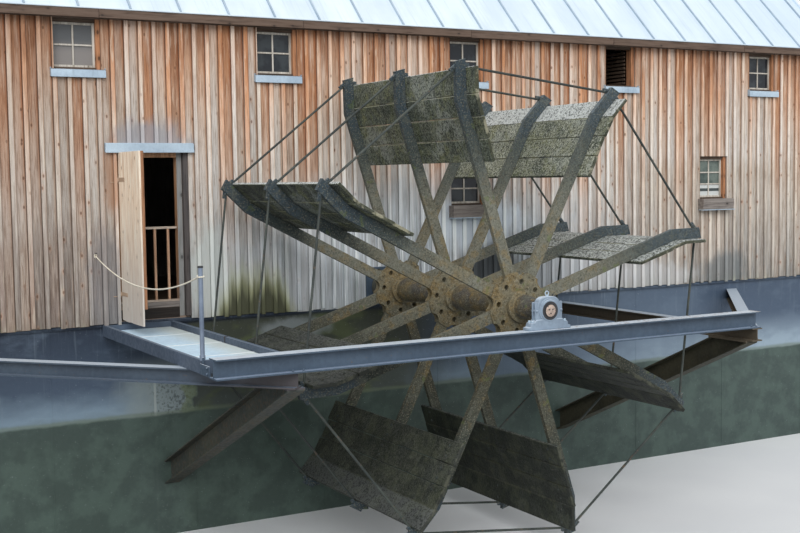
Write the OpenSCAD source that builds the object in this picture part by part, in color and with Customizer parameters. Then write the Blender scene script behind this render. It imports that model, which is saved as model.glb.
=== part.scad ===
// Floating watermill: a boarded house on a steel hull, with an undershot wheel
// carried outboard between the hull wall and a long steel beam.
// Millimetres. +X runs along the hull, +Y from the wheel side to the far side, +Z up.
// The origin is the centre of the hull's flat bottom.

/* [Hull] */
// height of the wheel axle above the hull bottom
axle_z = 3150; // [2800:10:3600]
// hull and house reach this far from the axle along the hull
house_half_len = 9000; // [7500:50:10500]
// bare deck beyond each gable
end_deck = 600; // [200:50:1500]
// half width of the house
house_half_w = 3000; // [2500:50:3600]
// hull side set back behind the boarding
hull_setback = 60; // [20:5:120]
// deck edge standing out of the hull side
deck_rim = 30; // [10:5:50]
// thickness of hull plating with its frames
hull_t = 60; // [20:5:100]
// boarding's lower edge below the axle
base_drop = 260; // [150:10:400]

/* [House] */
// thickness of the boarded timber wall
wall_t = 200; // [150:10:260]
// roof's lower edge above the axle
eaves_rise = 3710; // [3000:10:4500]
// roof slope in degrees
roof_slope = 45; // [30:1:55]
// roof thickness, square to the slope
roof_t = 70; // [40:5:120]
// roof edge out of the wall face
eaves_out = 144; // [80:2:400]
// roof edge out of the gable
verge_out = 150; // [50:10:400]
// half width of the ridge cap
ridge_half = 150; // [80:10:250]
// thickness of the ridge cap
ridge_t = 12; // [6:1:25]
// height of the board under the eaves
fascia_h = 125; // [80:5:200]
// thickness of the board under the eaves
fascia_t = 40; // [20:5:60]
// floor boards above the boarding's lower edge
floor_rise = 100; // [40:10:110]

/* [Doorway] */
// middle of the doorway along the hull
door_x = -3366; // [-5000:1:-3300]
// width of the doorway through the boarding
door_w = 957; // [800:1:1100]
// width of the door leaf
leaf_w = 873; // [700:1:880]
// doorway head above the axle
door_head = 1925; // [1700:5:2300]
// door leaf thickness
leaf_t = 60; // [35:5:80]
// gap round the door leaf
leaf_gap = 6; // [5:1:12]
// leaf's lower edge above the hull deck
leaf_clear = 25; // [10:5:60]
// width of the frame post beside the opening
jamb_w = 69; // [40:1:120]
// depth of the door frame behind the leaf
jamb_d = 100; // [60:5:120]
// guard rail above the sill
guard_h = 978; // [800:2:1100]
// thickness of the guard's bars
guard_bar = 32; // [20:1:50]
// middle of the first upright guard bar from the frame post
guard_first = 121; // [60:1:150]
// distance from one upright guard bar to the next
guard_pitch = 178; // [110:2:180]
// upright bars in the guard
guard_n = 4; // [3:1:6]
// top of the door sill above the floor
sill_up = 134; // [60:1:200]
// radius of a hinge pin
pin_r = 8; // [6:1:12]
// hinge pins out of the wall face
pin_out = 20; // [18:1:30]
// height of a hinge eye
eye_h = 50; // [30:5:80]
// thickness of hinge straps and lugs
strap_t = 6; // [4:1:10]
// length of a hinge strap on the leaf
strap_len = 260; // [150:10:500]
// hinges in from the leaf's ends
hinge_in = 320; // [200:10:500]
// height of the metal strip over the door
flashing_h = 107; // [60:1:160]
// metal strip out of the wall
flashing_out = 70; // [40:5:120]
// metal strip past the left side of the doorway
flashing_past_l = 147; // [40:1:200]
// metal strip past the right side of the doorway
flashing_past_r = 65; // [40:1:200]

/* [Windows] */
// width of a window opening
win_w = 600; // [500:5:800]
// height of an upper window opening
win_h = 630; // [450:10:700]
// lower edge of the upper windows above the axle
win_z = 2960; // [2700:5:3000]
// height of a lower window opening
low_win_h = 710; // [400:10:900]
// lower edge of the lower windows above the axle
low_win_z = 1130; // [900:5:1400]
// middles of the upper windows along the hull
win_x = [-4300, -1587, 1468, 7473];
// middles of the lower windows along the hull
low_win_x = [1470, 6357];
// middles of the windows in the far wall
back_win_x = [-6000, -2000, 2000, 6000];
// middle of the open hatch along the hull
hatch_x = 4363; // [4000:1:4700]
// width of the open hatch
hatch_w = 594; // [400:2:800]
// window frames set back from the wall face
sash_back = 65; // [40:5:140]
// width of the glazed sash's bars
sash_w = 30; // [20:1:60]
// casing beside the sash
casing_side = 55; // [20:5:90]
// casing over the sash
casing_head = 45; // [20:5:90]
// casing under the sash
casing_foot = 25; // [10:5:60]
// thickness of a window frame
sash_t = 50; // [30:5:80]
// thickness of the glass
glass_t = 8; // [4:1:12]
// width of a window sill
sill_w = 685; // [610:5:900]
// upper window sill out of the wall
sill_out = 75; // [40:5:120]
// height of an upper window sill
sill_h = 105; // [50:5:140]
// lower window sill out of the wall
low_sill_out = 150; // [60:5:200]
// height of a lower window sill
low_sill_h = 180; // [100:5:220]

/* [Wheel] */
// radius of the wheel to the tips of its arms
wheel_r = 3000; // [2400:10:3200]
// arms in each frame
arm_n = 8; // [6:1:10]
// turn of the first arm from +X at rest, in degrees
arm_turn = 105.6; // [90:0.1:134]
// distance from one wheel frame to the next
frame_pitch = 1420; // [1000:10:1600]
// far wheel frame out of the house wall
frame_out = 530; // [400:10:800]
// width of an arm seen from the side
arm_w = 140; // [80:5:200]
// depth of an arm along the axle
arm_t = 60; // [40:5:100]
// plate thickness of an arm
arm_plate = 10; // [8:1:16]
// an arm bends this far inside its tip
bend_in = 430; // [250:10:600]
// arm's middle ahead of the spoke line at the bend
bend_lead = 85; // [20:5:140]
// arm's middle behind the spoke line at the tip
tip_lag = 25; // [0:5:80]
// inner radius of the paddle boards
paddle_in_r = 1780; // [1400:10:2200]
// paddle boards end this far inside the arm tips
paddle_short = 90; // [0:5:200]
// thickness of the paddle boards
paddle_t = 50; // [30:5:80]
// paddle boards beyond the outer frames
paddle_over = 240; // [100:10:260]
// radius of a tie rod
rod_r = 15; // [8:1:16]

/* [Hubs and axle] */
// radius of the axle tube
axle_r = 110; // [80:5:140]
// radius of the axle in the outer bearing
journal_r = 75; // [50:5:100]
// gap round the axle in its bearings
running_gap = 0.05; // [0.02:0.01:0.1]
// radius of the hub discs
hub_r = 410; // [350:10:500]
// thickness of a hub disc
hub_t = 25; // [16:1:40]
// radius of the hub's raised middle
boss_r = 190; // [160:5:220]
// raised middle out of the disc
boss_out = 50; // [20:5:80]
// radius of the round holes in the discs
hub_hole_r = 33; // [20:1:45]
// radius of the circle of the holes
hub_hole_pcd_r = 295; // [250:5:320]
// radius of the scallops in the disc's edge
scallop_r = 95; // [60:5:120]
// middle of the scallops from the axle
scallop_at = 460; // [440:5:520]

/* [Outer frame] */
// middle of the long beam out of the near wheel frame
beam_out = 650; // [560:10:900]
// long beam's left end from the axle
beam_left = 4100; // [3300:10:4500]
// long beam's right end from the axle
beam_right = 3265; // [3150:5:4500]
// long beam's top below the axle
beam_drop = 218; // [190:2:260]
// depth of the long beam
beam_h = 209; // [150:1:300]
// width of the beam flanges
flange_w = 200; // [120:5:260]
// thickness of the beam flanges
flange_t = 16; // [10:1:25]
// thickness of the beam webs
web_t = 12; // [8:1:20]
// depth of the outriggers
rig_h = 170; // [120:5:220]
// width of the outriggers
rig_w = 170; // [120:5:220]
// outrigger's foot on the hull from the axle
rig_foot = 6855; // [5500:5:7500]
// outrigger's head under the beam from the axle
rig_head = 3200; // [3100:5:3300]
// outrigger's end past the middle of the beam
rig_past = 20; // [0:5:150]
// length of the level plate between outrigger and strut
seat_len = 680; // [500:10:800]
// thickness of that plate
seat_t = 20; // [10:1:30]
// end of the cross beam past the middle of the outer beam
cross_past = 100; // [0:5:150]
// depth of the struts
strut_h = 285; // [120:5:320]
// strut's upper edge above the line from the beam's underside to its foot
strut_up = 100; // [40:5:140]
// width of the struts
strut_w = 200; // [100:5:200]
// strut's foot below the axle
strut_foot = 2260; // [1800:10:2400]

/* [Walkway] */
// left edge of the walkway from the axle
walk_left = 4075; // [4040:5:4300]
// width of the walkway
walk_w = 945; // [700:5:960]
// walkway past the near wheel frame
walk_past = 250; // [100:10:320]
// depth of the walkway's side frames
walk_h = 140; // [100:5:180]
// thickness of the walkway's side frames
walk_frame_t = 50; // [30:5:70]
// walking plate below the top of the frames
walk_sunk = 80; // [30:5:100]
// thickness of the walking plate
walk_plate = 20; // [10:2:40]
// post above the walkway frame
post_h = 960; // [800:10:1200]
// radius of the post
post_r = 24; // [15:1:40]
// radius of the barrier rope
rope_r = 9; // [6:1:14]
// rope tied below the top of the post
tie_drop = 100; // [40:5:200]
// rope's hook on the wall from the axle
hook_x = -4150; // [-4600:10:-4050]
// rope's hook above the axle
hook_z = 612; // [400:2:900]
// rope's sag below a straight line
rope_sag = 260; // [50:5:320]

/* [Bearings] */
// length of the outer bearing along the beam
block_len = 600; // [400:10:700]
// width of the outer bearing along the axle
block_w = 120; // [100:5:200]
// middle of the outer bearing in from the middle of the beam
block_in = 40; // [0:5:60]
// radius of the outer bearing's round housing
block_r = 165; // [130:5:180]
// height of the outer bearing's foot
block_foot = 70; // [40:5:100]
// side of the bearing plate on the wall
plate_side = 560; // [400:10:700]
// thickness of the bearing plate on the wall
plate_t = 40; // [20:5:80]
// axle beyond the inside of the wall
axle_in = 180; // [100:10:400]

/* [Hidden] */
$fn = 32;
// overlap for cuts
cut = 1;
base_z = axle_z - base_drop;
hull_half_len = house_half_len + end_deck;
hull_half_w = house_half_w - hull_setback;
deck_half_w = hull_half_w + deck_rim;
deck_under = base_z - hull_t;
wall_in = house_half_w - wall_t;
floor_z = base_z + floor_rise;
eaves_z = axle_z + eaves_rise;
eaves_half_w = house_half_w + eaves_out;
roof_v = roof_t / cos(roof_slope);
roof_rise = tan(roof_slope);
wall_top = eaves_z - roof_v + eaves_out * roof_rise;
ridge_z = eaves_z + eaves_half_w * roof_rise;
roof_half_len = house_half_len + verge_out;
head_z = axle_z + door_head;
door_l = door_x - door_w / 2;
door_r = door_x + door_w / 2;
frame_y = leaf_t + 2 * leaf_gap - house_half_w;
pin_y = -house_half_w - pin_out;
leaf_low = base_z + leaf_clear;
leaf_top = head_z - leaf_gap;
hinge_z = [leaf_low + hinge_in, leaf_top - hinge_in - eye_h];
eye_r = pin_r + strap_t;
front_sash_y = sash_back - house_half_w;
back_sash_y = house_half_w - sash_back - sash_t;
low_opening_z = axle_z + low_win_z;
opening_z = axle_z + win_z;
hatch_l = hatch_x - hatch_w / 2;
hatch_rt = hatch_x + hatch_w / 2;
sill_top = floor_z + sill_up;
far_frame_y = -(house_half_w + frame_out);
mid_frame_y = far_frame_y - frame_pitch;
near_frame_y = mid_frame_y - frame_pitch;
beam_y = near_frame_y - beam_out;
block_near_y = beam_y + block_in - block_w / 2;
block_far_y = block_near_y + block_w;
beam_top = axle_z - beam_drop;
beam_under = beam_top - beam_h;
rig_under = beam_under - rig_h;
arm_step = 360 / arm_n;
arm_in_r = boss_r + 10;
tip_r = wheel_r - 10;
bend_r = tip_r - bend_in;
paddle_out_r = tip_r - paddle_short;
rod_at = wheel_r - 60;
wall_hole_r = axle_r + 30;
walk_y = near_frame_y - walk_past;
walk_right = walk_left - walk_w;
walk_top = beam_under + walk_h;
post_x = -walk_left + walk_frame_t / 2;
post_y = walk_y + walk_frame_t / 2;
post_top = walk_top + post_h;
rope_tie_z = post_top - tie_drop;
steel = [0.35, 0.40, 0.46];
timber = [0.62, 0.47, 0.34];
dark = [0.27, 0.29, 0.27];

module box(low, high) {
  translate(low)
    cube(high - low);
}

// a hole or shaft along the axle, from one Y to another
module along_axle(r, from_y, to_y) {
  translate([0, to_y, axle_z])
    rotate([90, 0, 0])
      cylinder(r = r, h = to_y - from_y);
}

// a flat outline seen from the wheel side, given depth along Y
module flat_piece(from_y, to_y) {
  translate([0, to_y, axle_z])
    rotate([90, 0, 0])
      linear_extrude(height = to_y - from_y)
        children();
}

module hull_bottom() {
  color(steel)
    box([-hull_half_len, -hull_half_w, 0], [hull_half_len, hull_half_w, hull_t]);
}

module hull_side(y) {
  color(steel)
    box([-hull_half_len, y, hull_t], [hull_half_len, y + hull_t, deck_under]);
}

module hull_side_near() {
  hull_side(-hull_half_w);
}

module hull_side_far() {
  hull_side(hull_half_w - hull_t);
}

module hull_end(x) {
  color(steel)
    box([x, hull_t - hull_half_w, hull_t], [x + hull_t, hull_half_w - hull_t, deck_under]);
}

module hull_end_left() {
  hull_end(-hull_half_len);
}

module hull_end_right() {
  hull_end(hull_half_len - hull_t);
}

module hull_deck() {
  color(steel)
    box(
      [-hull_half_len - deck_rim, -deck_half_w, deck_under],
      [hull_half_len + deck_rim, deck_half_w, base_z]
    );
}

module floor_boards() {
  color(timber)
    box([wall_t - house_half_len, -wall_in, base_z], [house_half_len - wall_t, wall_in, floor_z]);
}

// an opening through the wheel-side or far wall
module wall_hole(x, z, h, y) {
  box([x - win_w / 2, y - cut, z], [x + win_w / 2, y + wall_t + cut, z + h]);
}

module front_wall(from_x, to_x) {
  difference() {
    box([from_x, -house_half_w, base_z], [to_x, -wall_in, wall_top]);
    for (x = win_x)
      wall_hole(x, opening_z, win_h, -house_half_w);
    for (x = low_win_x)
      wall_hole(x, low_opening_z, low_win_h, -house_half_w);
  }
}

module wall_front_left() {
  color(timber)
    front_wall(-house_half_len, door_l);
}

module wall_over_door() {
  color(timber)
    box([door_l, -house_half_w, head_z], [door_r, -wall_in, wall_top]);
}

module wall_front_mid() {
  color(timber)
    difference() {
      front_wall(door_r, hatch_l);
      along_axle(wall_hole_r, -house_half_w - cut, cut - wall_in);
    }
}

module wall_hatch_strip() {
  color(timber) {
    box([hatch_l, -house_half_w, base_z], [hatch_rt, -wall_in, opening_z]);
    box([hatch_l, -house_half_w, opening_z + win_h], [hatch_rt, -wall_in, wall_top]);
  }
}

module wall_front_right() {
  color(timber)
    front_wall(hatch_rt, house_half_len);
}

module wall_back() {
  color(timber)
    difference() {
      box([-house_half_len, wall_in, base_z], [house_half_len, house_half_w, wall_top]);
      for (x = back_win_x)
        wall_hole(x, opening_z, win_h, wall_in);
    }
}

module gable(x) {
  color(timber)
    translate([x, 0, 0])
      rotate([90, 0, 90])
        linear_extrude(height = wall_t)
          polygon([
            [-wall_in, base_z],
            [wall_in, base_z],
            [wall_in, wall_top],
            [0, wall_top + wall_in * roof_rise],
            [-wall_in, wall_top]
          ]);
}

module gable_left() {
  gable(-house_half_len);
}

module gable_right() {
  gable(house_half_len - wall_t);
}

// one roof slope; side is -1 towards the wheel and 1 away from it
module roof_slab(side) {
  color([0.80, 0.86, 0.90])
    translate([-roof_half_len, 0, 0])
      rotate([90, 0, 90])
        linear_extrude(height = 2 * roof_half_len)
          polygon([
            [side * eaves_half_w, eaves_z],
            [0, ridge_z],
            [0, ridge_z - roof_v],
            [side * eaves_half_w, eaves_z - roof_v]
          ]);
}

module roof_near() {
  roof_slab(-1);
}

module roof_far() {
  roof_slab(1);
}

module ridge_cap() {
  color([0.72, 0.78, 0.82])
    translate([-roof_half_len, 0, ridge_z])
      rotate([90, 0, 90])
        linear_extrude(height = 2 * roof_half_len)
          polygon([
            [-ridge_half, -ridge_half * roof_rise],
            [0, 0],
            [ridge_half, -ridge_half * roof_rise],
            [ridge_half, ridge_t - ridge_half * roof_rise],
            [0, ridge_t],
            [-ridge_half, ridge_t - ridge_half * roof_rise]
          ]);
}

module fascia_boards() {
  top = wall_top - fascia_t * roof_rise;
  color([0.45, 0.33, 0.24])
    for (side = [-1, 1])
      translate([0, side * (house_half_w + fascia_t / 2), top - fascia_h / 2])
        cube([2 * house_half_len, fascia_t, fascia_h], center = true);
}

module door_frame() {
  back_y = frame_y + jamb_d;
  color(timber)
    difference() {
      box([door_l, frame_y, base_z], [door_r, back_y, head_z]);
      box(
        [door_l + jamb_w, frame_y - cut, sill_top],
        [door_r - 2 * jamb_w, back_y + cut, head_z - jamb_w]
      );
    }
}

// the leaf stands open, square to the wall, on two strap hinges
module door_leaf() {
  color([0.74, 0.62, 0.47])
    difference() {
      union() {
        box(
          [door_l + pin_out, pin_y - leaf_gap - leaf_w, leaf_low],
          [door_l + pin_out + leaf_t, pin_y - leaf_gap, leaf_top]
        );
        for (z = hinge_z) {
          translate([door_l, pin_y, z])
            cylinder(r = eye_r, h = eye_h);
          box([door_l, pin_y - eye_r, z], [door_l + pin_out, pin_y - leaf_gap, z + eye_h]);
          box(
            [door_l + pin_out - strap_t, pin_y - strap_len, z],
            [door_l + pin_out, pin_y - leaf_gap, z + eye_h]
          );
        }
      }
      for (z = hinge_z)
        translate([door_l, pin_y, z - cut])
          cylinder(r = pin_r + running_gap, h = eye_h + 2 * cut);
    }
}

// lugs on the wall with upright pins for the leaf's hinge eyes
module door_pins() {
  color(steel)
    for (z = hinge_z) {
      translate([door_l, pin_y, z - strap_t])
        cylinder(r = pin_r, h = eye_h + 2 * strap_t);
      box([door_l - strap_len / 3, pin_y, z - 2 * strap_t], [door_l, -house_half_w, z - strap_t / 2]);
      translate([door_l, pin_y, z - 2 * strap_t])
        cylinder(r = eye_r, h = strap_t * 3 / 2);
    }
}

module door_guard() {
  guard_y = frame_y + (jamb_d - guard_bar) / 2;
  right = door_r - 2 * jamb_w;
  first_bar = right - guard_first - guard_bar / 2;
  rail_z = sill_top + guard_h;
  color(timber) {
    box([door_l + jamb_w, guard_y, rail_z - guard_bar], [right, guard_y + guard_bar, rail_z]);
    for (k = [1:guard_n])
      translate([first_bar - (k - 1) * guard_pitch, guard_y, sill_top])
        cube([guard_bar, guard_bar, guard_h - guard_bar]);
  }
}

module door_flashing() {
  color([0.75, 0.80, 0.84])
    box(
      [door_l - flashing_past_l, -house_half_w - flashing_out, head_z],
      [door_r + flashing_past_r, -house_half_w, head_z + flashing_h]
    );
}

// the glazed part of an opening, from one Y to another
module glazing(x, z, h, from_y, to_y) {
  box(
    [x - win_w / 2 + sash_w, from_y, z + casing_foot + sash_w],
    [x + win_w / 2 - sash_w - casing_side, to_y, z + h - sash_w - casing_head]
  );
}

// a sash and its casing in an opening; y is their outer face
module sash(x, z, h, y) {
  difference() {
    box([x - win_w / 2, y, z], [x + win_w / 2, y + sash_t, z + h]);
    glazing(x, z, h, y - cut, y + sash_t + cut);
  }
}

module pane(x, z, h, y) {
  mid_y = y + (sash_t - glass_t) / 2;
  glazing(x, z, h, mid_y, mid_y + glass_t);
}

module window_frames() {
  color([0.70, 0.66, 0.58]) {
    for (x = win_x)
      sash(x, opening_z, win_h, front_sash_y);
    for (x = low_win_x)
      sash(x, low_opening_z, low_win_h, front_sash_y);
    for (x = back_win_x)
      sash(x, opening_z, win_h, back_sash_y);
  }
}

module window_glass() {
  color([0.15, 0.17, 0.18]) {
    for (x = win_x)
      pane(x, opening_z, win_h, front_sash_y);
    for (x = low_win_x)
      pane(x, low_opening_z, low_win_h, front_sash_y);
    for (x = back_win_x)
      pane(x, opening_z, win_h, back_sash_y);
  }
}

// a sill block on the wall, reaching from one Y to another
module sill(x, from_y, to_y, top, h) {
  box([x - sill_w / 2, from_y, top - h], [x + sill_w / 2, to_y, top]);
}

module window_sills() {
  color([0.78, 0.82, 0.85]) {
    for (x = concat(win_x, [hatch_x]))
      sill(x, -house_half_w - sill_out, -house_half_w, opening_z, sill_h);
    for (x = back_win_x)
      sill(x, house_half_w, house_half_w + sill_out, opening_z, sill_h);
  }
}

module sill_blocks() {
  color(timber)
    for (x = low_win_x)
      sill(x, -house_half_w - low_sill_out, -house_half_w, low_opening_z, low_sill_h);
}

module walkway_frame() {
  wall_end = -deck_half_w;
  color(steel)
    difference() {
      box([-walk_left, walk_y, beam_under], [-walk_right, wall_end, walk_top]);
      box(
        [walk_frame_t - walk_left, walk_y + walk_frame_t, beam_under - cut],
        [-walk_right - walk_frame_t, wall_end - walk_frame_t, walk_top + cut]
      );
    }
}

module walkway_deck() {
  top = walk_top - walk_sunk;
  color([0.66, 0.72, 0.76])
    box(
      [walk_frame_t - walk_left, walk_y + walk_frame_t, top - walk_plate],
      [-walk_right - walk_frame_t, -deck_half_w - walk_frame_t, top]
    );
}

module walkway_post() {
  color([0.60, 0.64, 0.68])
    translate([post_x, post_y, walk_top])
      cylinder(r = post_r, h = post_h);
}

module barrier_rope() {
  from = [hook_x, -house_half_w, axle_z + hook_z];
  to = [post_x, post_y + post_r, rope_tie_z];
  steps = 12;
  sides = 8;
  path = [
    for (i = [0:steps])
      let (t = i / steps)
        from + t * (to - from) - [0, 0, 4 * rope_sag * t * (1 - t)]
  ];
  ring = [
    for (p = path)
      for (k = [0:sides - 1])
        p + rope_r * [cos(360 * k / sides), 0, sin(360 * k / sides)]
  ];
  walls = [
    for (i = [0:steps - 1])
      for (k = [0:sides - 1])
        [
          i * sides + k,
          i * sides + (k + 1) % sides,
          (i + 1) * sides + (k + 1) % sides,
          (i + 1) * sides + k
        ]
  ];
  first_end = [for (k = [sides - 1:-1:0]) k];
  last_end = [for (k = [0:sides - 1]) steps * sides + k];
  color([0.88, 0.84, 0.72])
    polyhedron(points = ring, faces = concat(walls, [first_end, last_end]));
}

// the outline of a rolled beam, with its middle at the top
module beam_outline(w, h) {
  polygon([
    [-w / 2, 0],
    [w / 2, 0],
    [w / 2, -flange_t],
    [web_t / 2, -flange_t],
    [web_t / 2, flange_t - h],
    [w / 2, flange_t - h],
    [w / 2, -h],
    [-w / 2, -h],
    [-w / 2, flange_t - h],
    [-web_t / 2, flange_t - h],
    [-web_t / 2, -flange_t],
    [-w / 2, -flange_t]
  ]);
}

module outer_beam() {
  color(steel)
    translate([-beam_left, beam_y, beam_top])
      rotate([90, 0, 90])
        linear_extrude(height = beam_left + beam_right)
          beam_outline(flange_w, beam_h);
}

// an outrigger's slanting beam; side is -1 for the left one and 1 for the right one
module rig_beam(side) {
  reach = -hull_half_w - beam_y;
  run = rig_foot - rig_head;
  turn = atan2(reach, side * run);
  length = sqrt(reach * reach + run * run) + 2 * rig_w;
  intersection() {
    translate([side * rig_head, beam_y, beam_under])
      rotate([0, 0, turn])
        translate([-rig_past, 0, 0])
          rotate([90, 0, 90])
            linear_extrude(height = length + rig_past)
              beam_outline(rig_w, rig_h);
    box([-house_half_len, beam_y - 2 * rig_w, 0], [house_half_len, -hull_half_w, axle_z]);
  }
}

// the level plate between that steelwork and its strut
module strut_seat(side) {
  translate([side * rig_head, beam_y + seat_len / 2, rig_under - seat_t / 2])
    cube([strut_w, seat_len, seat_t], center = true);
}

module outrigger_left() {
  color(steel) {
    rig_beam(-1);
    strut_seat(-1);
  }
}

// the right outrigger butts against the cross beam
module outrigger_right() {
  color(steel)
    difference() {
      rig_beam(1);
      box([0, beam_y - 2 * rig_w, 0], [rig_head + rig_w / 2, -hull_half_w, axle_z]);
    }
}

// a level beam square to the hull, under the right end of the outer beam
module cross_beam() {
  color(steel) {
    translate([rig_head, -hull_half_w, beam_under])
      rotate([90, 0, 0])
        linear_extrude(height = -hull_half_w - beam_y + cross_past)
          beam_outline(rig_w, rig_h);
    strut_seat(1);
  }
}

// a strut from under the outrigger's seat down to the hull side
module strut(side) {
  reach = -hull_half_w - beam_y;
  drop = beam_under - (axle_z - strut_foot);
  turn = atan2(drop, reach);
  color(steel)
    intersection() {
      translate([side * rig_head, beam_y, beam_under])
        rotate([-turn, 0, 0])
          translate([0, 2 * reach, strut_up])
            rotate([90, 0, 0])
              linear_extrude(height = 3 * reach)
                beam_outline(strut_w, strut_h);
      box([-house_half_len, beam_y, 0], [house_half_len, -hull_half_w, rig_under - seat_t]);
    }
}

module strut_left() {
  strut(-1);
}

module strut_right() {
  strut(1);
}

module outer_bearing() {
  color([0.58, 0.66, 0.72])
    difference() {
      union() {
        along_axle(block_r, block_near_y, block_far_y);
        box(
          [-block_len / 2, block_near_y, beam_top],
          [block_len / 2, block_far_y, beam_top + block_foot]
        );
        box([-block_r, block_near_y, beam_top], [block_r, block_far_y, axle_z]);
      }
      along_axle(journal_r + running_gap, block_near_y - cut, block_far_y + cut);
    }
}

module wall_bearing() {
  from_y = -house_half_w - plate_t;
  half = plate_side / 2;
  color(steel)
    difference() {
      box([-half, from_y, axle_z - base_drop + cut], [half, -house_half_w, axle_z + half]);
      along_axle(axle_r + running_gap, from_y - cut, cut - house_half_w);
    }
}

module axle() {
  shoulder_y = block_far_y + 40;
  color([0.42, 0.36, 0.28]) {
    along_axle(journal_r, block_near_y - 10, shoulder_y);
    along_axle(axle_r, shoulder_y, axle_in - wall_in);
  }
}

// two discs with the arms between them, and a raised middle
module hub(y) {
  boss_half = arm_t / 2 + hub_t + boss_out;
  color([0.45, 0.36, 0.25])
    for (side = [-1, 1])
      difference() {
        union() {
          translate([0, side * (arm_t + hub_t) / 2, 0])
            along_axle(hub_r, y - hub_t / 2, y + hub_t / 2);
          translate([0, side * boss_half / 2, 0])
            along_axle(boss_r, y - boss_half / 2, y + boss_half / 2);
        }
        along_axle(axle_r, y - hub_r, y + hub_r);
        for (k = [0:arm_n - 1])
          flat_piece(y - hub_r, y + hub_r)
            rotate(arm_turn + (k + 0.5) * arm_step) {
              translate([hub_hole_pcd_r, 0])
                circle(r = hub_hole_r);
              translate([scallop_at, 0])
                circle(r = scallop_r);
            }
      }
}

module hub_near() {
  hub(near_frame_y);
}

module hub_mid() {
  hub(mid_frame_y);
}

module hub_far() {
  hub(far_frame_y);
}

// the bent middle line of an arm, moved sideways by d
function arm_line(d) = [
  [arm_in_r, d],
  [bend_r, bend_lead + d],
  [tip_r, d - tip_lag]
];

function reversed(list) = [for (i = [len(list) - 1:-1:0]) list[i]];

module arm_outline() {
  polygon(concat(arm_line(-arm_w / 2), reversed(arm_line(arm_w / 2))));
}

// each arm is a channel with its flat plate towards the beam
module arms(y) {
  color(dark)
    for (k = [0:arm_n - 1])
      difference() {
        flat_piece(y - arm_t / 2, y + arm_t / 2)
          rotate(arm_turn + k * arm_step)
            arm_outline();
        flat_piece(y - arm_t / 2 + arm_plate, y + arm_t / 2 + cut)
          rotate(arm_turn + k * arm_step)
            offset(delta = -arm_plate)
              arm_outline();
      }
}

module arms_near() {
  arms(near_frame_y);
}

module arms_mid() {
  arms(mid_frame_y);
}

module arms_far() {
  arms(far_frame_y);
}

// boards on the clockwise face of each arm, bent like the arm
module paddle_outline() {
  face = -arm_w / 2;
  in_lead = bend_lead * (paddle_in_r - arm_in_r) / (bend_r - arm_in_r);
  out_lead = bend_lead - (bend_lead + tip_lag) * (paddle_out_r - bend_r) / bend_in;
  polygon([
    [paddle_in_r, in_lead + face],
    [bend_r, bend_lead + face],
    [paddle_out_r, out_lead + face],
    [paddle_out_r, out_lead + face - paddle_t],
    [bend_r, bend_lead + face - paddle_t],
    [paddle_in_r, in_lead + face - paddle_t]
  ]);
}

module paddles() {
  color([0.33, 0.32, 0.22])
    for (k = [0:arm_n - 1])
      flat_piece(near_frame_y - paddle_over, far_frame_y + paddle_over)
        rotate(arm_turn + k * arm_step)
          paddle_outline();
}

module tie_rods() {
  half = rod_at * sin(arm_step / 2) - arm_w / 2;
  color(dark)
    for (y = [near_frame_y, mid_frame_y, far_frame_y])
      for (k = [0:arm_n - 1])
        translate([0, y, axle_z])
          rotate([0, -arm_turn - (k + 0.5) * arm_step, 0])
            translate([rod_at * cos(arm_step / 2), 0, -half])
              cylinder(r = rod_r, h = 2 * half, $fn = 8);
}

hull_bottom();
hull_side_near();
hull_side_far();
hull_end_left();
hull_end_right();
hull_deck();
floor_boards();
wall_front_left();
wall_over_door();
wall_front_mid();
wall_hatch_strip();
wall_front_right();
wall_back();
gable_left();
gable_right();
roof_near();
roof_far();
ridge_cap();
fascia_boards();
door_frame();
door_leaf();
door_pins();
door_guard();
door_flashing();
window_frames();
window_glass();
window_sills();
sill_blocks();
walkway_frame();
walkway_deck();
walkway_post();
barrier_rope();
outer_beam();
outrigger_left();
outrigger_right();
cross_beam();
strut_left();
strut_right();
outer_bearing();
wall_bearing();
axle();
hub_near();
hub_mid();
hub_far();
arms_near();
arms_mid();
arms_far();
paddles();
tie_rods();
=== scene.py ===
"""A floating watermill in its looks: weathered boarding, sheet roof, painted hull,
mossy paddle wheel, and the steel frame and walkway beside it. Metres throughout."""

import math
import random
from functools import cached_property

import bmesh
import bpy
from mathutils import Matrix, Vector, noise


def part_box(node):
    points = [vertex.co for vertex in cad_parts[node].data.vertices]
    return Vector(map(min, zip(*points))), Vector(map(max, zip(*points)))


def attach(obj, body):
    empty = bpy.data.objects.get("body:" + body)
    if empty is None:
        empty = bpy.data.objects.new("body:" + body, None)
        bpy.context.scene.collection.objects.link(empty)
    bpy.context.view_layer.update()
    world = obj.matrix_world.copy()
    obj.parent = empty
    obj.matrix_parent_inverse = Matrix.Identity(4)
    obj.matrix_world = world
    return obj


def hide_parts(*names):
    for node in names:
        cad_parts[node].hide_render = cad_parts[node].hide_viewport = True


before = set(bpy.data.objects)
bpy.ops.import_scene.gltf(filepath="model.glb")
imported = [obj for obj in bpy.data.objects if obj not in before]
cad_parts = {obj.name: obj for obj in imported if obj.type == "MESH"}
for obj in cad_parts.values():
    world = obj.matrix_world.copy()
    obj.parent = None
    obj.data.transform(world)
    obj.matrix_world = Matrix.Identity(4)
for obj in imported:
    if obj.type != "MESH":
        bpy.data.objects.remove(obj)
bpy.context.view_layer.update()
chance = random.Random(21)


def placed(name, data):
    """An object in the scene, at the origin."""
    made = bpy.data.objects.new(name, data)
    bpy.context.scene.collection.objects.link(made)
    return made


# Camera

CAMERA_AT = Vector((-8.2885, -18.3373, 4.6934))
CAMERA_LENS = 54.634
CAMERA_YAW = math.radians(29.2124)
CAMERA_PITCH = math.radians(4.1576)
CAMERA_ROLL = math.radians(-0.7716)


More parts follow.
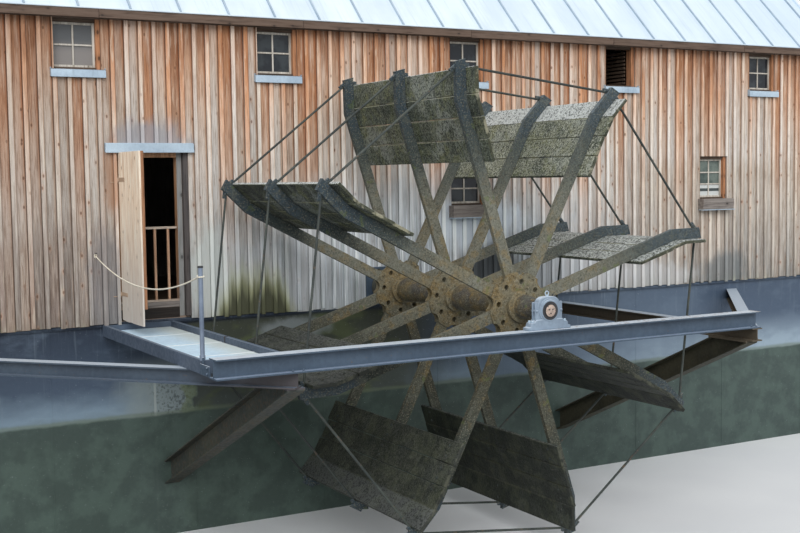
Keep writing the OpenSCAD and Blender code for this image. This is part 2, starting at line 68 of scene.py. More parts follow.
def make_camera():
    """The camera at the viewing angle of the photograph."""
    ahead = Vector((
        math.sin(CAMERA_YAW) * math.cos(CAMERA_PITCH),
        math.cos(CAMERA_YAW) * math.cos(CAMERA_PITCH),
        -math.sin(CAMERA_PITCH),
    ))
    level = Vector((math.cos(CAMERA_YAW), -math.sin(CAMERA_YAW), 0))
    upright = level.cross(ahead)
    right = level * math.cos(CAMERA_ROLL) + upright * math.sin(CAMERA_ROLL)
    up = upright * math.cos(CAMERA_ROLL) - level * math.sin(CAMERA_ROLL)
    camera = placed("camera", bpy.data.cameras.new("camera"))
    camera.data.lens = CAMERA_LENS
    turn = Matrix((right, up, -ahead)).transposed().to_4x4()
    camera.matrix_world = Matrix.Translation(CAMERA_AT) @ turn
    bpy.context.scene.camera = camera


make_camera()

# Node trees


def hue(red, green, blue, gain=1.0):
    """A linear colour from a screen colour of 0 to 255."""
    def linear(part):
        part = min(part * gain, 255) / 255
        return part / 12.92 if part <= 0.04045 else ((part + 0.055) / 1.055) ** 2.4
    return (linear(red), linear(green), linear(blue), 1.0)


class Recipe:
    """Short calls for laying out the nodes of a finish or of a shared effect."""

    def __init__(self, tree, gain=1.0, finish=None):
        self.tree, self.gain, self.finish = tree, gain, finish
        self.colour = None
        tree.nodes.clear()

    def put(self, kind, inputs=(), **settings):
        """A new node, with its settings and with values or links on its sockets."""
        node = self.tree.nodes.new("ShaderNode" + kind)
        for name, value in settings.items():
            setattr(node, name, value)
        for name, value in dict(inputs).items():
            if isinstance(value, bpy.types.NodeSocket):
                self.tree.links.new(value, node.inputs[name])
            else:
                node.inputs[name].default_value = value
        return node

    def sum(self, operation, first, second=0.5):
        return self.put("Math", {0: first, 1: second}, operation=operation).outputs[0]

    def times(self, first, *others):
        for other in others:
            first = self.sum("MULTIPLY", first, other)
        return first

    def plus(self, first, second):
        return self.sum("ADD", first, second)

    def less(self, first, second):
        return self.sum("SUBTRACT", first, second)

    def vector(self, operation, first, second=(0, 0, 0)):
        node = self.put("VectorMath", {0: first, 1: second}, operation=operation)
        return node.outputs["Value" if operation in ("LENGTH", "DOT_PRODUCT") else "Vector"]

    def scaled(self, vector, by):
        return self.put("VectorMath", {0: vector, "Scale": by}, operation="SCALE").outputs[0]

    def mix(self, mask, under, over, way="MIX"):
        node = self.put("Mix", {0: mask, 6: under, 7: over}, data_type="RGBA", blend_type=way)
        return node.outputs[2]

    def remap(self, value, low, high, to_low=0.0, to_high=1.0, curve="SMOOTHSTEP"):
        span = {"From Min": low, "From Max": high, "To Min": to_low, "To Max": to_high}
        return self.put("MapRange", {"Value": value, **span}, interpolation_type=curve).outputs[0]

    def linear(self, value, low, high, to_low=0.0, to_high=1.0):
        return self.remap(value, low, high, to_low, to_high, "LINEAR")

    def near(self, value, middle, outer, inner):
        """1 where a value is close to the middle, and 0 past the outer distance."""
        return self.remap(self.sum("ABSOLUTE", self.less(value, middle)), outer, inner)

    def wobble(self, cloud, by):
        """A cloud's pattern as a length from -by to by."""
        return self.linear(cloud, 0.3, 0.7, -by, by)

    def ramp(self, value, stops):
        """A colour that runs through stops of (place, colour)."""
        node = self.put("ValToRGB", {0: value})
        band = node.color_ramp.elements
        while len(band) < len(stops):
            band.new(1.0)
        for element, (place, colour) in zip(band, stops):
            element.position = place
            element.color = hue(*colour, self.gain)
        return node.outputs["Color"]

    def noise(self, vector, scale, detail=4.0, rough=0.55):
        inputs = {"Vector": vector, "Scale": scale, "Detail": detail, "Roughness": rough}
        return self.put("TexNoise", inputs).outputs["Fac"]

    def axis(self, vector, index):
        return self.put("SeparateXYZ", {0: vector}).outputs[index]

    @cached_property
    def place(self):
        return self.put("TexCoord").outputs["Object"]

    @cached_property
    def xyz(self):
        """The three coordinates of the place."""
        return self.put("SeparateXYZ", {0: self.place}).outputs

    @cached_property
    def facing(self):
        """How far the surface looks along each axis."""
        return self.put("SeparateXYZ", {0: self.put("TexCoord").outputs["Normal"]}).outputs

    @cached_property
    def tone(self):
        return self.put("Attribute", attribute_name="tone").outputs["Fac"]

    def from_axle(self):
        """The distance from the wheel's axis."""
        out = self.vector("SUBTRACT", self.place, (0, 0, AXLE_Z))
        return self.vector("LENGTH", self.vector("MULTIPLY", out, (1, 0, 1)))

    def shifted(self, by):
        return self.vector("ADD", self.place, by)

    def stretched(self, by):
        return self.vector("MULTIPLY", self.place, by)

    def tinted(self, tint, gain=None):
        if isinstance(tint, bpy.types.NodeSocket):
            return tint
        return hue(*tint, self.gain if gain is None else gain)

    def blend(self, mask, under, over):
        return self.mix(mask, self.tinted(under), self.tinted(over))

    def stain(self, mask, tint, share=None, gain=None):
        """Covers the colour so far with a tint where the mask is 1."""
        mask = mask if share is None else self.times(mask, share)
        self.colour = self.mix(mask, self.colour, self.tinted(tint, gain))

    def dim(self, mask, tint, share=None):
        """Multiplies the colour so far by a tint where the mask is 1."""
        mask = mask if share is None else self.times(mask, share)
        self.colour = self.mix(mask, self.colour, (*tint, 1.0), "MULTIPLY")

    def fade_to(self, value, low, high, share, tint):
        """Stains with a tint as a value passes from low to high."""
        self.stain(self.remap(value, low, high, 0.0, share), tint)

    def fade_down(self, value, low, high, share, tint):
        self.dim(self.remap(value, low, high, 0.0, share), tint)

    def effect(self, name, **values):
        """One of the shared effects, placed with its own values."""
        inputs = {"Vector": self.place, **values}
        inputs = {label.replace("_", " "): value for label, value in inputs.items()}
        return self.put("Group", inputs, node_tree=EFFECTS[name]).outputs

    def spots(self, size, cover, shift=None):
        place = self.shifted(shift) if shift else self.place
        return self.effect("speckle", Vector=place, Size=size, Cover=cover)["Mask"]

    def runs(self, width, length, cover):
        return self.effect("water_runs", Width=width, Length=length, Cover=cover)["Mask"]

    def patch(self, centre, reach, ragged, fineness=3.0, **where):
        return self.effect("stain_patch", Centre=centre, Reach=reach, Ragged=ragged,
                           Fineness=fineness, **where)["Mask"]

    def tide(self, full_below, none_above, ragged, fineness):
        return self.effect("tide_line", Full_Below=full_below, None_Above=none_above,
                           Ragged=ragged, Fineness=fineness)["Mask"]

    def grain(self, way, knot_size):
        return self.effect("wood_grain", Tone=self.tone, Knot_Size=knot_size, **way)

    def surface(self, rough, height=None, bump=0.3, depth=0.004, **constants):
        """The shader itself, with a bump from height; gives the finish."""
        inputs = {"Base Color": self.colour, "Roughness": rough, "Specular IOR Level": 0.35}
        inputs.update({name.replace("_", " "): value for name, value in constants.items()})
        if height is not None:
            relief = self.put("Bump", {"Height": height, "Strength": bump, "Distance": depth})
            inputs["Normal"] = relief.outputs[0]
        shader = self.put("BsdfPrincipled", inputs)
        self.put("OutputMaterial", {"Surface": shader.outputs[0]})
        return self.finish

    def gives(self, **values):
        """The results of a shared effect."""
        for label in values:
            self.tree.interface.new_socket(
                label, in_out="OUTPUT", socket_type="NodeSocketFloat")
        result = self.tree.nodes.new("NodeGroupOutput")
        for label, value in values.items():
            self.tree.links.new(value, result.inputs[label])


EFFECTS = {}


def new_effect(name, **inputs):
    """A shared effect: its recipe and the values it is given."""
    tree = bpy.data.node_groups.new(name, "ShaderNodeTree")
    for label, value in {"Vector": (0, 0, 0), **inputs}.items():
        kind = "NodeSocketVector" if isinstance(value, tuple) else "NodeSocketFloat"
        made = tree.interface.new_socket(
            label.replace("_", " "), in_out="INPUT", socket_type=kind)
        made.default_value = value
    EFFECTS[name] = tree
    recipe = Recipe(tree)
    return recipe, tree.nodes.new("NodeGroupInput").outputs


def make_grain():
    """Wood grain with knots; Across and Along are the directions of the board's width and
    length, and Tone gives each board its own part of the pattern."""
    r, given = new_effect(
        "wood_grain", Across=(1, 1, 0), Along=(0, 0, 1), Tone=0.0, Knot_Size=0.1)
    shift = r.times(given["Tone"], 37.3)
    shift = r.put("CombineXYZ", {0: shift, 1: shift, 2: shift}).outputs[0]
    place = r.vector("ADD", given["Vector"], shift)
    wide = r.vector("MULTIPLY", place, given["Across"])
    long = r.vector("MULTIPLY", place, given["Along"])

    def fibres(across, along, detail, rough):
        stretched = r.vector("ADD", r.scaled(wide, across), r.scaled(long, along))
        return r.noise(stretched, 1.0, detail, rough)

    flat = r.put("CombineXYZ", {
        0: r.times(r.vector("DOT_PRODUCT", place, given["Across"]), 5.5),
        1: r.times(r.vector("DOT_PRODUCT", place, given["Along"]), 3.0),
    }).outputs[0]
    cells = r.put("TexVoronoi", {"Vector": flat, "Scale": 1.0}, voronoi_dimensions="2D")
    near = cells.outputs["Distance"]
    there = r.remap(r.axis(cells.outputs["Color"], 0), 0.5, 0.8)
    size = given["Knot Size"]
    knots = r.remap(near, size, r.times(size, 0.5))
    halo = r.remap(near, r.times(size, 2.4), r.times(size, 0.9))
    r.gives(
        Grain=fibres(90.0, 3.0, 6.0, 0.65),
        Streaks=fibres(10.0, 0.8, 4.0, 0.6),
        Figure=fibres(30.0, 2.3, 5.0, 0.6),
        Knots=r.times(knots, there),
        Halo=r.times(halo, there),
    )


def make_level():
    """1 below a height and 0 above it, with a ragged edge."""
    r, given = new_effect(
        "tide_line", Full_Below=0.0, None_Above=1.0, Ragged=0.3, Fineness=(5, 5, 0.6))
    rough = r.noise(r.vector("MULTIPLY", given["Vector"], given["Fineness"]), 1.0, 4.0, 0.6)
    lift = r.times(r.less(rough, 0.5), given["Ragged"])
    height = r.plus(r.axis(given["Vector"], 2), lift)
    r.gives(Mask=r.remap(height, given["None Above"], given["Full Below"]))


def make_patch():
    """1 inside an oval space round Centre, fading out at Reach, with a ragged edge."""
    r, given = new_effect(
        "stain_patch", Centre=(0, 0, 0), Reach=(1, 1, 1), Ragged=0.6, Fineness=3.0)
    away = r.vector("SUBTRACT", given["Vector"], given["Centre"])
    away = r.vector("LENGTH", r.vector("DIVIDE", away, given["Reach"]))
    rough = r.noise(given["Vector"], given["Fineness"], 5.0, 0.6)
    edge = r.plus(away, r.times(r.less(rough, 0.5), given["Ragged"]))
    r.gives(Mask=r.remap(edge, 1.0, 0.45))


def make_speckle():
    """Small scattered spots; Cover runs from 0, none, to 1, nearly all."""
    r, given = new_effect("speckle", Size=0.03, Cover=0.4)
    per_metre = r.sum("DIVIDE", 1.0, given["Size"])
    fine = r.noise(given["Vector"], per_metre, 3.0, 0.7)
    limit = r.linear(given["Cover"], 0.0, 1.0, 0.74, 0.36)
    r.gives(Mask=r.remap(fine, r.less(limit, 0.03), r.plus(limit, 0.03)), Soft=fine)


def make_runs():
    """Upright streaks where rain or splashed water has run down."""
    r, given = new_effect("water_runs", Width=0.05, Length=1.2, Cover=0.5)
    across = r.sum("DIVIDE", 1.0, given["Width"])
    down = r.sum("DIVIDE", 1.0, given["Length"])
    fine = r.put("CombineXYZ", {0: across, 1: across, 2: down}).outputs[0]
    streaks = r.noise(r.vector("MULTIPLY", given["Vector"], fine), 1.0, 3.0, 0.6)
    limit = r.linear(given["Cover"], 0.0, 1.0, 0.7, 0.36)
    r.gives(Mask=r.remap(streaks, limit, r.plus(limit, 0.14)))


make_grain()
make_level()
make_patch()
make_speckle()
make_runs()


def new_finish(name, gain=1.0):
    """The recipe of a new material; gain lightens all its tints."""
    finish = bpy.data.materials.new(name)
    finish.use_nodes = True
    return Recipe(finish.node_tree, gain, finish)


# Timber finishes

UPRIGHT = {"Across": (1, 1, 0), "Along": (0, 0, 1)}
ALONG_X = {"Across": (0, 1, 1), "Along": (1, 0, 0)}
ALONG_Y = {"Across": (1, 0, 1), "Along": (0, 1, 0)}
# tints by height up the wall; the darkest one at the top is painted shade of the eaves
WALL_TINTS = (
    (2.88, (162, 166, 168)),
    (3.10, (164, 166, 168)),
    (3.30, (174, 174, 172)),
    (3.60, (190, 189, 187)),
    (4.00, (203, 201, 197)),
    (4.50, (211, 208, 203)),
    (5.00, (213, 206, 198)),
    (5.50, (213, 199, 186)),
    (6.00, (211, 182, 160)),
    (6.40, (199, 159, 131)),
    (6.70, (160, 122, 97)),
)
# dark boards behind the wheel, patches beside the door leaf, and grey, pale or green clouds: middle
# and reach along and up the wall
WALL_CLOUDS = (
    ((1.84, 3.38), (0.6, 0.85), (56, 61, 64), 0.92),
    ((6.6, 3.05), (0.7, 0.42), (104, 110, 112), 0.75),
    ((-3.38, 5.2), (0.68, 0.36), (150, 150, 156), 0.75),
    # orange-brown stain beside the open door leaf, darkened with painted shade of the leaf
    ((-3.90, 4.75), (0.14, 0.7), (158, 116, 86), 0.65),
    # dark grey beside the open door leaf, partly painted shade of the leaf
    ((-4.02, 3.3), (0.3, 1.1), (110, 110, 114), 0.55),
    ((-2.62, 3.4), (0.42, 0.9), (196, 202, 198), 0.7),
    ((1.6, 4.0), (1.1, 0.5), (216, 226, 236), 0.8),
    ((3.3, 3.2), (1.2, 0.5), (200, 204, 208), 0.5),
    ((4.8, 3.0), (1.5, 0.4), (196, 198, 200), 0.55),
)


def weathered(name, gain, contrast=1.0):
    """Old upright softwood boards: orange under the eaves and darkest at the very top with painted
    shade of the eaves, silver grey low down, and bleached, dark and green where the wheel throws
    water."""
    r = new_finish(name, gain)
    along_wall, _, height = r.xyz
    across = r.put("Attribute", attribute_name="across").outputs["Fac"]
    low, high = WALL_TINTS[0][0], WALL_TINTS[-1][0]
    climb = r.linear(r.plus(height, r.remap(r.tone, 0, 1, -0.5, 0.5)), low, high)
    r.colour = r.ramp(climb, [((z - low) / (high - low), tint) for z, tint in WALL_TINTS])
    wood = r.grain(UPRIGHT, 0.085)
    streaks, figure = wood["Streaks"], wood["Figure"]
    pick = r.put("TexWhiteNoise", {"W": r.tone}, noise_dimensions="1D").outputs[0]
    fresh = r.remap(height, 3.4, 5.3, 0.15, 1.0)
    # each board has its own shade, and some keep more of their orange
    r.stain(r.times(r.remap(r.tone, 0.5, 1.0, 0.0, 0.6), fresh), (192, 134, 92))
    r.fade_to(r.tone, 0.36, 0.0, 0.5, (190, 182, 176))
    r.dim(r.linear(pick, 0.35, 1.0, 0.0, 0.8), (0.72, 0.65, 0.60))
    # low down at the left end brown, grey and pale boards stand side by side
    low_left = r.times(r.remap(along_wall, -3.6, -4.6), r.remap(height, 4.6, 3.6))
    mixed = r.ramp(pick, [
        (0.0, (204, 190, 176)),
        (0.33, (172, 142, 118)),
        (0.5, (150, 114, 90)),
        (0.75, (118, 106, 98)),
        (1.0, (146, 136, 128)),
    ])
    r.stain(low_left, mixed, 0.55)
    # silvered streaks, bleached fibres and dark ones
    r.fade_to(streaks, 0.5, 0.62, 0.22, (206, 198, 190))
    r.fade_down(streaks, 0.47, 0.36, 0.25 * contrast, (0.74, 0.66, 0.58))
    r.fade_down(figure, 0.5, 0.62, 0.4 * contrast, (0.60, 0.50, 0.43))
    r.fade_to(figure, 0.47, 0.36, 0.3, (234, 218, 202))
    r.fade_down(wood["Grain"], 0.5, 0.6, 0.7 * contrast, (0.54, 0.46, 0.40))
    r.stain(wood["Halo"], (196, 146, 110), 0.22)
    r.stain(wood["Knots"], (98, 68, 50), 0.72)
    # the board or batten darkens to orange-brown towards its far edge, and the dark line at that
    # edge is painted shade of the groove and of the batten's shaded side
    r.dim(r.times(r.remap(across, 0.72, 0.97, 0.0, 0.8), fresh), (0.66, 0.45, 0.30))
    r.fade_down(across, 0.92, 0.97, 0.8 * contrast, (0.42, 0.35, 0.30))
    # both ends of the house are darker
    r.fade_down(along_wall, -2.9, -5.0, 0.42, (0.52, 0.45, 0.40))
    r.dim(r.times(r.remap(along_wall, 4.2, 5.2), r.remap(height, 5.1, 4.7)), (0.89, 0.85, 0.80))
    # splashed and bleached behind the wheel
    splash = r.patch((0.6, -3.0, 3.3), (4.2, 2.0, 1.8), 0.7, 2.0)
    white = r.patch((0.9, -3.0, 3.5), (3.0, 2.0, 1.05), 0.7, 3.0)
    r.stain(splash, (184, 192, 198), 0.66)
    r.stain(r.times(white, r.runs(0.035, 1.0, 0.66)), (218, 227, 234), 0.8)
    r.dim(r.times(splash, r.runs(0.05, 1.4, 0.6)), (0.50, 0.53, 0.49), 0.55)
    flattened = r.stretched((1, 1, 0.5))
    for (x, z), (wide, tall), tint, share in WALL_CLOUDS:
        cloud = r.patch((x, -3.0, z / 2), (wide, 1.5, tall / 2), 1.0, 7.0, Vector=flattened)
        r.stain(cloud, tint, share)
    # growth climbs the boards in tongues from the deck, green at its edge and nearly
    # black inside
    sides = r.remap(
        r.sum("ABSOLUTE", r.plus(along_wall, 1.98)), 0.22, 0.74, 3.42, 2.66, "SMOOTHERSTEP")
    teeth = r.noise(r.stretched((9, 9, 0.8)), 1.0, 3.0, 0.6)
    fine_teeth = r.noise(r.stretched((34, 34, 1.2)), 1.0, 3.0, 0.6)
    top = r.plus(sides, r.linear(teeth, 0.35, 0.65, -0.08, 0.08))
    top = r.plus(top, r.linear(fine_teeth, 0.35, 0.65, -0.05, 0.05))
    under = r.less(top, height)
    r.fade_to(under, -0.26, 0.06, 0.65, (162, 166, 140))
    r.fade_to(under, -0.02, 0.18, 0.75, (108, 110, 74))
    r.fade_to(under, 0.12, 0.34, 0.85, (60, 62, 46))
    r.dim(r.tide(2.86, 3.1, 0.35, (9, 9, 0.4)), (0.62, 0.64, 0.58), 0.2)
    relief = r.plus(wood["Grain"], r.times(figure, 0.8))
    relief = r.less(relief, r.times(wood["Knots"], 0.3))
    return r.surface(r.remap(wood["Grain"], 0.3, 0.7, 0.72, 0.95), relief, 0.5, 0.006)


def timber(name, way, light, dark, knot_size=0.11, streak=0.5, damp=None):
    """Sawn timber with grain along one axis, between a light and a dark tint."""
    r = new_finish(name)
    wood = r.grain(way, knot_size)
    grain, figure = wood["Grain"], wood["Figure"]
    r.colour = r.blend(r.linear(r.tone, 0, 1, 0.0, 0.35), light, dark)
    r.fade_to(figure, 0.5, 0.64, 0.7, dark)
    r.stain(r.remap(figure, 0.47, 0.36, 0.0, streak), light, gain=1.12)
    r.fade_down(grain, 0.5, 0.64, 0.6, (0.6, 0.54, 0.5))
    r.fade_to(wood["Streaks"], 0.52, 0.64, 0.45, light)
    r.stain(wood["Halo"], dark, 0.4)
    r.stain(wood["Knots"], dark, 0.8, gain=0.55)
    if damp:
        low, high, tint = damp
        r.stain(r.tide(low, high, 0.5, (8, 8, 0.8)), tint, 0.7)
    return r.surface(r.remap(grain, 0.3, 0.7, 0.6, 0.9), grain, 0.35, 0.004)


def mossy_timber(name):
    """Waterlogged planks with pale lichen specks, dark slime and cushions of moss."""
    r = new_finish(name)
    wood = r.grain(ALONG_Y, 0.05)
    height = r.xyz[2]
    facing = r.facing[2]
    away = r.from_axle()
    upper = r.remap(facing, 0.15, 0.5)
    r.colour = r.blend(r.remap(r.tone, 0, 1), (86, 94, 82), (102, 106, 92))
    # painted light: faces that look up are lighter, and faces that look down get a painted shade
    r.stain(upper, (134, 136, 116), 0.8)
    r.stain(r.remap(facing, -0.45, -0.75), (44, 50, 50), 0.9)
    r.fade_down(wood["Figure"], 0.46, 0.6, 0.6, (0.5, 0.5, 0.45))
    # green and black slime that has run outwards over the boards
    run = r.noise(r.stretched((2.6, 13.0, 2.6)), 1.0, 5.0, 0.65)
    r.fade_to(run, 0.5, 0.6, 0.65, (88, 94, 56))
    r.fade_down(run, 0.47, 0.37, 0.9, (0.30, 0.34, 0.32))
    growth = r.noise(r.place, 5.0, 5.0, 0.65)
    r.fade_to(growth, 0.52, 0.62, 0.5, (122, 124, 82))
    wide = r.noise(r.shifted((4, 4, 4)), 2.2, 4.0, 0.6)
    r.fade_down(wide, 0.48, 0.38, 0.85, (0.36, 0.42, 0.43))
    r.fade_to(wide, 0.52, 0.62, 0.5, (146, 152, 146))
    lichen = r.effect("speckle", Size=0.035, Cover=0.55)
    pale = r.remap(r.noise(r.place, 1.6, 3.0, 0.5), 0.42, 0.56)
    r.stain(r.times(pale, lichen["Mask"], r.remap(upper, 0, 1, 0.15, 0.9)), (172, 174, 158))
    r.stain(r.times(r.remap(away, 2.58, 2.62), upper), (204, 208, 208), 0.85)
    flat = r.remap(facing, 0.8, 0.95)
    r.stain(flat, (208, 214, 212), 0.85)
    r.stain(r.spots(0.014, 0.5), (196, 198, 186), r.remap(upper, 0, 1, 0.25, 0.7))
    r.stain(r.spots(0.026, 0.52, (7, 3, 1)), (34, 38, 32), 0.8)
    r.stain(r.times(r.spots(0.03, 0.55, (2, 6, 4)), flat), (38, 42, 40), 0.95)
    # pale lime in the joints between boards
    for joint in (2.056, 2.326, 2.596):
        line = r.near(away, joint, 0.016, 0.006)
        r.stain(line, (150, 150, 122), r.remap(growth, 0.40, 0.55, 0.0, 0.6))
    r.stain(r.patch((1.9, -6.2, 5.1), (0.42, 0.4, 0.42), 1.2, 9.0), (92, 122, 46), 0.8)
    frayed = r.blend(r.remap(growth, 0.5, 0.6), (60, 62, 48), (146, 142, 122))
    r.stain(r.remap(r.facing[1], -0.4, -0.8), frayed, 0.85)
    # the lower boards have just left the water
    wet = r.blend(r.remap(growth, 0.46, 0.58), (24, 28, 24), (50, 54, 44))
    r.fade_to(height, 3.5, 2.6, 0.85, wet)
    relief = r.plus(r.times(wood["Figure"], 0.6), lichen["Soft"])
    return r.surface(r.remap(height, 3.0, 4.4, 0.6, 0.88), relief, 0.8, 0.012)


# Metal finishes


def painted_steel(name, paint, worn, rust_share=0.25, rough=0.45, upper=None, stained=None,
                  browned=None, low_upper=None):
    """Paint on steel: clouded, a painted highlight on faces that look up, rust in small spots,
    browned between two places along X, and a duller tint for that highlight on upper faces below a
    height."""
    r = new_finish(name)
    cloud = r.noise(r.place, 1.6, 5.0, 0.6)
    fine = r.noise(r.place, 22.0, 4.0, 0.6)
    r.colour = r.blend(r.remap(cloud, 0.42, 0.6, 0.0, 0.6), paint, worn)
    r.fade_down(fine, 0.42, 0.6, 0.3, (0.72, 0.72, 0.72))
    r.stain(r.runs(0.035, 0.5, 0.35), worn, 0.25, gain=1.12)
    r.stain(r.spots(0.05, rust_share), (104, 82, 62), 0.55)
    if browned:
        start, end, tint = browned
        near = r.plus(r.xyz[0], r.wobble(cloud, 0.06))
        brown = r.remap(near, start, end, 0.0, 0.75)
        r.stain(brown, tint)
    # painted highlight on faces that look up, with a duller tint on upper faces below a height
    if upper:
        top = upper
        if stained:
            far = r.remap(r.xyz[0], -0.6, 0.6, 0.15, 0.8)
            top = r.blend(r.times(r.spots(0.09, 0.42), far), top, stained)
        if low_upper:
            level, dull = low_upper
            top = r.blend(r.remap(r.xyz[2], level, level - 0.05), top, dull)
        r.fade_to(r.facing[2], 0.5, 0.95, 0.9, top)
    return r.surface(r.remap(fine, 0.3, 0.7, rough, rough + 0.2), fine, 0.12, 0.003)


def hull_paint():
    """Blue-grey hull paint, chalky and streaked, fouled below the water line, with painted
    shade towards the top of the side and a painted highlight on faces that look up.
    """
    r = new_finish("hull_paint")
    cloud = r.noise(r.stretched((0.9, 0.9, 1.8)), 1.3, 5.0, 0.6)
    along, out, height = r.xyz
    wheel_side = r.remap(out, -2.0, -2.8)
    # the side darkens towards its top: painted shade under the house and the walkway
    r.colour = r.ramp(r.linear(r.plus(height, r.wobble(cloud, 0.12)), 1.2, 2.9), [
        (0.0, (84, 96, 88)),
        (0.2, (112, 128, 134)),
        (0.28, (124, 144, 160)),
        (0.5, (68, 82, 100)),
        (0.8, (48, 60, 76)),
        (1.0, (35, 45, 60)),
    ])
    # the open side towards the right end is paler
    r.fade_to(along, 0.8, 3.0, 0.65, (102, 119, 139))
    r.dim(r.remap(along, 5.6, 6.6), (0.66, 0.69, 0.74))
    low_right = r.times(r.remap(along, 3.0, 7.0), r.remap(height, 2.3, 1.7))
    r.stain(low_right, (158, 176, 190), 0.85)
    r.fade_to(cloud, 0.5, 0.64, 0.35, (104, 120, 138))
    r.stain(r.runs(0.06, 1.1, 0.4), (122, 136, 148), 0.2)
    # a pale pocked patch between a weld and a green edge, and dark olive slime past it
    reach = r.plus(along, r.remap(r.noise(r.place, 4.0, 4.0, 0.6), 0.3, 0.7, -0.08, 0.08))

    def on_wheel_side(mask, full, none):
        return r.times(mask, r.times(wheel_side, r.remap(height, none, full)))

    pale = r.times(r.remap(reach, -4.1, -3.35), r.remap(reach, -2.90, -2.98))
    pale = on_wheel_side(pale, 2.1, 2.45)
    r.stain(pale, (146, 158, 158), 0.85)
    pocked = r.times(r.spots(0.034, 0.5), pale, r.remap(reach, -3.5, -3.3))
    r.stain(pocked, (78, 88, 90), 0.75)
    r.stain(on_wheel_side(r.near(along, -3.40, 0.022, 0.008), 2.1, 2.25), (186, 194, 192), 0.6)
    slime = r.times(r.remap(reach, -2.98, -2.84), r.remap(reach, 1.5, 0.2))
    slime = on_wheel_side(slime, 2.78, 2.86)
    r.stain(slime, (58, 62, 48), 0.88)
    r.stain(slime, (86, 96, 58), r.remap(cloud, 0.48, 0.6, 0.0, 0.5))
    r.stain(on_wheel_side(r.near(reach, -2.95, 0.10, 0.02), 2.4, 2.75), (108, 120, 72), 0.6)
    # painted highlight on faces that look up, such as the top of the rubbing edge
    r.fade_to(r.facing[2], 0.6, 0.9, 0.6, (140, 154, 166))
    r.stain(r.patch((-1.4, -3.0, 2.62), (0.7, 1.5, 0.22), 0.8, 5.0), (132, 140, 142), 0.7)
    # white drips behind the wheel
    behind = r.patch((2.6, -3.0, 2.5), (2.0, 1.5, 1.0), 0.5)
    r.stain(r.times(r.runs(0.03, 0.6, 0.32), behind), (170, 182, 192), 0.7)
    r.stain(r.tide(1.64, 1.69, 0.06, (2.5, 2.5, 2.5)), (104, 116, 96), 0.6)
    growth = r.blend(
        r.remap(r.noise(r.place, 3.0, 6.0, 0.6), 0.4, 0.62), (56, 70, 66), (70, 86, 80))
    r.stain(r.tide(1.60, 1.64, 0.05, (4, 4, 4)), growth, 0.92)
    r.stain(r.spots(0.03, 0.12), (52, 56, 60), 0.5)
    r.stain(r.spots(0.016, 0.07, (3, 5, 9)), (206, 214, 220), 0.8)
    fine = r.noise(r.place, 16.0, 4.0, 0.6)
    return r.surface(r.remap(fine, 0.3, 0.7, 0.4, 0.65), r.plus(fine, cloud), 0.12, 0.006)


def wheel_steel(name, base, rust, slime, tip_blue):
    """Wheel ironwork: ochre rust near the middle, slate paint by the tips, slime between."""
    r = new_finish(name)
    cloud = r.noise(r.place, 2.6, 5.0, 0.65)
    fine = r.noise(r.place, 34.0, 4.0, 0.65)
    r.colour = r.blend(r.remap(cloud, 0.44, 0.6), base, rust)
    reach = r.plus(r.from_axle(), r.wobble(cloud, 0.3))
    r.stain(r.remap(reach, 0.9, 2.2), slime)
    r.fade_to(r.xyz[2], 3.3, 2.5, 0.75, (52, 54, 42))
    tip = r.blend(r.remap(fine, 0.42, 0.58), (50, 62, 68), (80, 94, 104))
    # painted highlight on the tips' faces that look up
    tip = r.blend(r.remap(r.facing[2], 0.3, 0.7, 0.0, 0.6), tip, (122, 134, 142))
    r.fade_to(reach, 2.0, 2.6, tip_blue, tip)
    # darker on the rising side: partly wet, partly painted shade
    wet = r.times(r.remap(r.xyz[0], 0.4, -0.8, 0.0, 0.75), r.remap(reach, 1.2, 2.0))
    r.dim(wet, (0.52, 0.60, 0.64))
    r.fade_down(fine, 0.44, 0.6, 0.5, (0.62, 0.60, 0.56))
    patches = r.noise(r.place, 8.0, 4.0, 0.6)
    orange = r.remap(patches, 0.52, 0.64, 0.0, 0.4)
    r.stain(orange, (132, 108, 58), r.remap(reach, 2.0, 0.8))
    r.fade_to(patches, 0.46, 0.36, 0.4, (96, 98, 86))
    spots = r.effect("speckle", Size=0.024, Cover=0.45)
    r.stain(spots["Mask"], (48, 46, 40), 0.55)
    r.stain(r.spots(0.018, 0.4, (5, 1, 2)), (158, 152, 132), 0.42)
    r.stain(r.spots(0.25, 0.22, (1, 8, 3)), (92, 104, 54), 0.45)
    relief = r.plus(fine, spots["Soft"])
    return r.surface(r.remap(fine, 0.3, 0.7, 0.6, 0.9), relief, 0.6, 0.006)


def sheet_metal(name, light, dark, rough=0.4, metallic=0.35):
    """Zinc-coated sheet: pale, faintly spangled, with dull runs."""
    r = new_finish(name)
    spangle = r.put("TexVoronoi", {"Vector": r.place, "Scale": 55.0}).outputs["Color"]
    cloud = r.noise(r.place, 2.2, 4.0, 0.6)
    r.colour = r.blend(r.remap(cloud, 0.3, 0.75), light, dark)
    r.stain(r.linear(r.axis(spangle, 0), 0, 1, 0.0, 0.14), dark, gain=0.8)
    r.stain(r.runs(0.03, 0.3, 0.4), dark, 0.25, gain=0.75)
    roughness = r.remap(cloud, 0.3, 0.7, rough, rough + 0.2)
    return r.surface(roughness, cloud, 0.08, 0.003, Metallic=metallic)


def roof_metal():
    """Pale coated roof sheet with a bluish sky tint, faint dirt and rain runs."""
    r = new_finish("roof_sheet")
    cloud = r.noise(r.stretched((1.4, 0.5, 0.5)), 1.0, 5.0, 0.6)
    r.colour = r.blend(r.remap(cloud, 0.3, 0.75), (222, 234, 242), (200, 214, 226))
    r.fade_to(r.xyz[0], 0.0, 9.0, 0.5, (194, 212, 228))
    runs = r.noise(r.stretched((26.0, 0.9, 0.9)), 1.0, 3.0, 0.6)
    r.fade_to(runs, 0.52, 0.72, 0.3, (176, 190, 200))
    return r.surface(r.remap(cloud, 0.3, 0.7, 0.4, 0.6), cloud, 0.08, 0.006)


